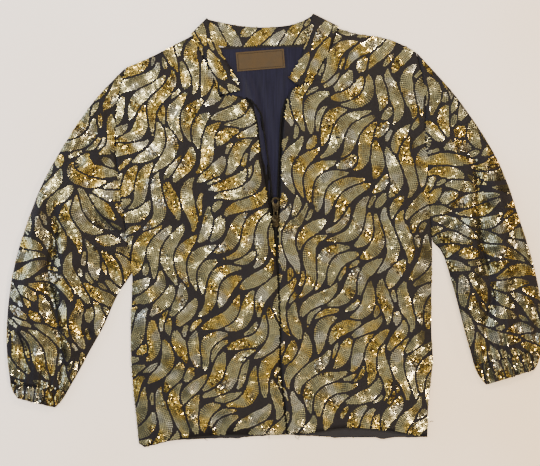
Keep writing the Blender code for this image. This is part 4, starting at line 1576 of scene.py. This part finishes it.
@dataclass(frozen=True)
class Zip:
    """Coil teeth on their tapes, the slider and the pull tab."""

    tooth_pitch: float = 1.9
    tooth_length: float = 2.3
    tooth_thickness: float = 1.15
    tooth_turn: float = 0.12
    tooth_shift: float = 0.36
    stagger: float = 0.2
    sight: float = 2.0
    row_reach: float = 1.6
    chain_rise: float = 5.25
    bevel: float = 0.28

    def middle_line(self, node: str) -> np.ndarray:
        """Points down the middle of a strip, from its two long edges.

        Args:
            node: Name of the strip's node.

        Returns:
            Array of x and y in mm, from the hem up.
        """
        corners = np.array([vertex.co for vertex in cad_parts[node].data.vertices]) / MM
        top = corners[corners[:, 2] > corners[:, 2].mean()]
        rows = sorted(set(np.round(top[:, 1], 0)))
        line = np.array([top[np.abs(top[:, 1] - row) < self.row_reach, :2].mean(axis=0) for row in rows])
        _, unique = np.unique(np.round(line[:, 1]), return_index=True)
        return line[unique]

    def teeth(self, node: str, material: Material, sides: tuple[int, ...]) -> Object:
        """Turns of the coil down a strip, as short bars across it.

        Args:
            node: Name of the strip's node.
            material: Nylon of the coil.
            sides: 0 for one row in the middle, or -1 and 1 for the two rows of the closed chain.

        Returns:
            The piece.
        """
        line = self.middle_line(node)
        steps = np.linalg.norm(np.diff(line, axis=0), axis=1)
        along = np.concatenate(([0.0], np.cumsum(steps)))
        mesh = bmesh.new()
        for place in np.arange(self.tooth_pitch / 2, along[-1], self.tooth_pitch):
            (x, y), before, after = (
                np.array([np.interp(place + shift, along, line[:, axis]) for axis in (0, 1)])
                for shift in (0.0, -self.sight, self.sight)
            )
            ahead_x, ahead_y = after - before
            angle = math.atan2(ahead_y, ahead_x) - math.pi / 2
            for side in sides:
                shift = side * self.tooth_length * self.tooth_shift
                spot = Matrix.Translation((x * MM, (y + self.stagger * side) * MM, self.chain_rise * MM))
                spot = spot @ Matrix.Rotation(angle + self.tooth_turn * side, 4, "Z")
                spot = spot @ Matrix.Translation((shift * MM, 0, 0))
                add_bar(mesh, spot, self.tooth_thickness, self.tooth_length)
        return dress(show(mesh, node + "_teeth", material), "black_cloth")

    def strip(self, node: str, material: Material) -> Object:
        """Tape or coil core: a finer copy of its node with softened edges.

        Args:
            node: Name of the node.
            material: Twill or nylon.

        Returns:
            The piece, which stands for the node.
        """
        mesh = finer_copy(node, levels=1, face_degrees=20, shape_degrees=60)
        return dress(show(mesh, node + "_woven", material), "black_cloth", node)

    def metal(self, node: str, body: str, material: Material) -> Object:
        """Slider or pull tab with its edges rounded.

        Args:
            node: Name of the node.
            body: Body that it moves with.
            material: Plated metal.

        Returns:
            The piece, which stands for the node.
        """
        mesh = merged_copy(node)
        bmesh.ops.dissolve_limit(mesh, angle_limit=FLAT_WITHIN, verts=mesh.verts, edges=mesh.edges)
        edges = [edge for edge in mesh.edges if edge.is_manifold and edge.calc_face_angle() > ROUNDED_FROM]
        bmesh.ops.bevel(
            mesh, geom=edges, offset=self.bevel * MM, segments=2, profile=0.5, affect="EDGES", material=-1,
            clamp_overlap=True,
        )
        return dress(show(mesh, node + "_metal", material), "antique_brass", node, body=body)

    def build(self, tape: Material, coil: Material, brass: Material) -> None:
        """Build every piece of the zip.

        Args:
            tape: Twill of the tapes.
            coil: Nylon of the coil.
            brass: Metal of the slider and the pull tab.
        """
        for node in ("zip_tape_left", "zip_tape_right"):
            piece = self.strip(node, tape)
        for node in ("zip_coil_left", "zip_coil_right", "zip_chain"):
            self.strip(node, coil)
        self.teeth("zip_coil_left", coil, (0,))
        self.teeth("zip_coil_right", coil, (0,))
        self.teeth("zip_chain", coil, (-1, 1))
        self.metal("zip_slider", JACKET, brass)
        self.metal("zip_pull", PULL_TAB, brass)


@dataclass(frozen=True)
class Label:
    """Bare neck label, sewn down along its four edges."""

    node: str = "neck_label"
    centre: tuple[float, float] = (-21.4, 256.5)
    size: tuple[float, float] = (72.0, 28.5)
    turn: float = LABEL_TURN
    cell_mm: float = 4.0
    inset: float = 2.6
    stitch: float = 2.8
    stitch_gap: float = 0.7
    thickness: float = 0.8
    top: float = 4.4

    def build(self, cloth: Material, thread: Material) -> None:
        """Build the label and its stitches.

        Args:
            cloth: Ribbon of the label.
            thread: Thread of the stitches.
        """
        piece = show(sliced(merged_copy(self.node), self.cell_mm), "neck_label_cloth", cloth)
        dress(piece, "tan_label", self.node)
        dress(self.stitches(thread), "tan_label")

    def stitches(self, thread: Material) -> Object:
        """Short bars of thread along each edge.

        Args:
            thread: Thread of the stitches.

        Returns:
            The piece.
        """
        mesh = bmesh.new()
        half_x, half_y = self.size[0] / 2 - self.inset, self.size[1] / 2 - self.inset
        turn = Matrix.Translation((self.centre[0] * MM, self.centre[1] * MM, self.top * MM))
        turn = turn @ Matrix.Rotation(math.radians(self.turn), 4, "Z")
        runs = (
            (-half_x, -half_y, half_x, -half_y),
            (half_x, -half_y, half_x, half_y),
            (half_x, half_y, -half_x, half_y),
            (-half_x, half_y, -half_x, -half_y),
        )
        for x0, y0, x1, y1 in runs:
            length = math.hypot(x1 - x0, y1 - y0)
            count = round(length / (self.stitch + self.stitch_gap))
            for index in range(count):
                t = (index + 0.5) / count
                spot = Matrix.Translation(((x0 + (x1 - x0) * t) * MM, (y0 + (y1 - y0) * t) * MM, 0))
                spot = spot @ Matrix.Rotation(math.atan2(y1 - y0, x1 - x0), 4, "Z")
                add_bar(mesh, turn @ spot, self.thickness, self.stitch)
        return show(mesh, "neck_label_stitches", thread)


@dataclass(frozen=True)
class HemFacing:
    """Facing that shows as a plain strip under the fronts' hem, with an uneven cut edge."""

    node: str = "hem_facing"
    step_mm: float = 5.0
    waver_mm: float = 0.9

    def build(self, material: Material) -> Object:
        """Cut the strip into cells and let it waver in the plan, as a hand-cut edge does.

        Args:
            material: Twill of the facing.

        Returns:
            The piece.
        """
        mesh = sliced(merged_copy(self.node), self.step_mm)
        across = np.array([(vertex.co.x / MM, 0.0) for vertex in mesh.verts])
        for vertex, shift in zip(mesh.verts, Relief(31, 16, 60).at(across)):
            vertex.co.y += self.waver_mm * shift * MM
        return dress(show(mesh, "hem_facing_cloth", material), "black_cloth", self.node)


@dataclass(frozen=True)
class ThreadEnd:
    """Loose end of a thread: its start, its direction in degrees, and its length and bend in mm."""

    start: tuple[float, float]
    degrees: float
    length: float
    bend: float


@dataclass(frozen=True)
class LooseThreads:
    """Thread ends that have come loose along the hem, in mm."""

    ends: tuple[ThreadEnd, ...] = (
        ThreadEnd((-198, -309), -60, 9, 1.5),
        ThreadEnd((-108, -304), -52, 12, -2.0),
        ThreadEnd((-62, -303), -100, 7, 1.2),
        ThreadEnd((-12, -302), -75, 10, 2.2),
        ThreadEnd((30, -302), -55, 12, -2.6),
        ThreadEnd((36, -302), -95, 8, 1.4),
        ThreadEnd((232, -286), 10, 6, 1.0),
    )
    radius: float = 0.4
    sides: int = 5
    steps: int = 6
    height: float = 1.2

    def grow(self, mesh: BMesh, end: ThreadEnd) -> None:
        """Add one thin bent tube that starts under the hem's edge.

        Args:
            mesh: Mesh that takes the tube.
            end: Thread end to build.
        """
        upright = Matrix.Rotation(math.pi / 2, 4, "Y")
        ring = bmesh.ops.create_circle(mesh, segments=self.sides, radius=self.radius * MM, matrix=upright)
        edges = list({edge for vertex in ring["verts"] for edge in vertex.link_edges})
        corners = set(ring["verts"])
        before = 0.0
        for step in range(1, self.steps + 1):
            t = step / self.steps
            aside = end.bend * (4 * t * (1 - t))
            shift = Vector((end.length / self.steps, aside - before, 0)) * MM
            before = aside
            made = bmesh.ops.extrude_edge_only(mesh, edges=edges)["geom"]
            edges = [item for item in made if isinstance(item, BMEdge) and len(item.link_faces) == 1]
            verts = list({vertex for edge in edges for vertex in edge.verts})
            bmesh.ops.translate(mesh, verts=verts, vec=shift)
            corners.update(verts)
        x, y = end.start
        place = Matrix.Translation((x * MM, y * MM, self.height * MM))
        place = place @ Matrix.Rotation(math.radians(end.degrees), 4, "Z")
        bmesh.ops.transform(mesh, matrix=place, verts=list(corners))

    def build(self, material: Material) -> Object:
        """Build all the ends as one piece.

        Args:
            material: Sewing thread.

        Returns:
            The piece.
        """
        mesh = bmesh.new()
        for end in self.ends:
            self.grow(mesh, end)
        bmesh.ops.recalc_face_normals(mesh, faces=mesh.faces)
        return show(mesh, "hem_loose_threads", material)


@dataclass(frozen=True)
class Lamp:
    """Square lamp that looks at the jacket: place and side in metres, watts and sRGB colour."""

    name: str
    place: tuple[float, float, float]
    size: float
    power: float
    colour: str

    def build(self) -> None:
        """Hang the lamp."""
        data = bpy.data.lights.new(self.name, "AREA")
        data.size = self.size
        data.energy = self.power
        data.color = linear(self.colour)[:3]
        lamp = bpy.data.objects.new(self.name, data)
        lamp.location = self.place
        lamp.rotation_euler = (-Vector(self.place)).to_track_quat("-Z", "Y").to_euler()
        bpy.context.scene.collection.objects.link(lamp)


@dataclass(frozen=True)
class Studio:
    """Pale floor, soft daylight from the left, warm lamps and the camera straight above."""

    frame_width: float = 0.81
    lens: float = 85.0
    sensor: float = 36.0
    middle: tuple[float, float] = (-0.0071, -0.0023)
    floor_half: float = 3.0
    floor_height: float = -0.0003
    sky_strength: float = 1.6
    sky_heights: tuple[tuple[float, str], ...] = (
        (0.0, "2C261E"), (0.45, "6A645A"), (0.84, "A8A49A"), (0.96, "DCD8CE"),
    )
    sky_sides: tuple[tuple[float, str], ...] = (
        (0.0, "DCE4F0"), (0.44, "B4B4B2"), (0.53, "F0EEEA"), (0.62, "BCB2A2"), (1.0, "605038"),
    )
    lamps: tuple[Lamp, ...] = (
        Lamp("window", (-2.3, 0.6, 1.3), 2.0, 52.0, "DCE8FF"),
        Lamp("lamp_near", (0.75, -1.0, 1.7), 0.1, 24.0, "FFE6BE"),
        Lamp("lamp_far", (0.6, 1.2, 1.5), 0.1, 22.0, "FFEACB"),
        Lamp("lamp_right", (2.2, 0.1, 0.9), 0.25, 14.0, "FFE2BC"),
        Lamp("lamp_left", (-0.55, 0.4, 1.8), 0.08, 9.0, "FFF1D6"),
    )

    def floor(self) -> None:
        """Plane under the jacket."""
        mesh = bmesh.new()
        bmesh.ops.create_grid(mesh, x_segments=1, y_segments=1, size=self.floor_half)
        bmesh.ops.translate(mesh, verts=mesh.verts, vec=(0, 0, self.floor_height))
        show(mesh, "floor", PaleBoard().material())

    def camera(self) -> None:
        """Long lens straight above, framed as in the photograph."""
        data = bpy.data.cameras.new("camera")
        data.lens = self.lens
        data.sensor_width = self.sensor
        camera = bpy.data.objects.new("camera", data)
        camera.location = (*self.middle, self.frame_width * self.lens / self.sensor)
        bpy.context.scene.collection.objects.link(camera)
        bpy.context.scene.camera = camera

    def sky(self) -> None:
        """Room light: dim straight above, bright and cool to the left, warmer to the right."""
        world = bpy.data.worlds.new("room")
        world.use_nodes = True
        tree = world.node_tree
        place = add(tree, "ShaderNodeTexCoord")
        parts = add(tree, "ShaderNodeSeparateXYZ", {0: place.outputs["Generated"]})
        height = colour_ramp(tree, parts.outputs["Z"], self.sky_heights)
        whole_width = {"Value": parts.outputs["X"], "From Min": -1.0, "From Max": 1.0}
        across = add(tree, "ShaderNodeMapRange", whole_width).outputs["Result"]
        sides = colour_ramp(tree, across, self.sky_sides)
        mixed = add(tree, "ShaderNodeMixRGB", {0: 1.0, 1: height, 2: sides}, blend_type="MULTIPLY")
        light = {"Color": mixed.outputs["Color"], "Strength": self.sky_strength}
        feed(tree, tree.nodes["Background"], light)
        bpy.context.scene.world = world

    def build(self) -> None:
        """Build the floor, the light and the camera."""
        self.floor()
        self.camera()
        self.sky()
        for lamp in self.lamps:
            lamp.build()


PANELS = (
    ClothPanel("left_front", (0.24, 0.62), 0.128, rests_on=("back_cloth",), zip_side=1),
    ClothPanel("right_front", (0.235, 0.615), 0.128, rests_on=("back_cloth",), zip_side=-1),
    ClothPanel("left_sleeve", (0.30, 0.50), 0.108, tube=True, depth=1.6),
    ClothPanel("right_sleeve", (0.29, 0.48), 0.098, tube=True, depth=1.6),
    ClothPanel("left_cuff", (0.18, 0.027), 0.0048, tube=True),
    ClothPanel("right_cuff", (0.21, 0.032), 0.0064, tube=True),
    ClothPanel("collar", (0.36, 0.042), 0.0125),
)


def measured_area(piece: Object) -> float:
    """Half of a thin piece's surface, which is its cloth, in square metres."""
    return sum(polygon.area for polygon in piece.data.polygons) / 2


def main() -> None:
    """Build the jacket's looks in order."""
    ground = GroundCloth().material()
    pieces = {panel.node: panel.build(ground) for panel in PANELS}
    pieces["back"] = BackPanel().build(ground)
    lining = Lining().build(SatinLining().material())
    hem_piece = HemFacing().build(WovenTape("dark_grey_twill_facing", "242428", "34343A").material())
    black_thread = Thread("black_sewing_thread", "08080C", "0C0C12").material()
    dress(LooseThreads().build(black_thread), "black_cloth")
    Zip().build(WovenTape().material(), NylonCoil().material(), AntiqueBrass().material())
    Label().build(LabelCloth().material(), Thread("brown_stitching", "140C05", "1C1208").material())
    film = SequinFilm().material()
    skin = Skin(pieces)
    upper = SequinLayer(skin, Side.UPPER, UPPER_PRINTS, corners=8)
    under = SequinLayer(
        skin, Side.UNDER, UNDER_PRINTS,
        corners=6, pitch=2.8, radius=1.5, loose_tilt=4.0, lift_mm=0.15, seed=70,
    )
    for layer in (upper, under):
        layer.sew()
        layer.build(film)
    for name, piece in (*pieces.items(), ("back_lining", lining), ("hem_facing", hem_piece)):
        log.info("%s: %.4f m2 of cloth", name, measured_area(piece))
    Studio().build()


if __name__ == "__main__":
    main()
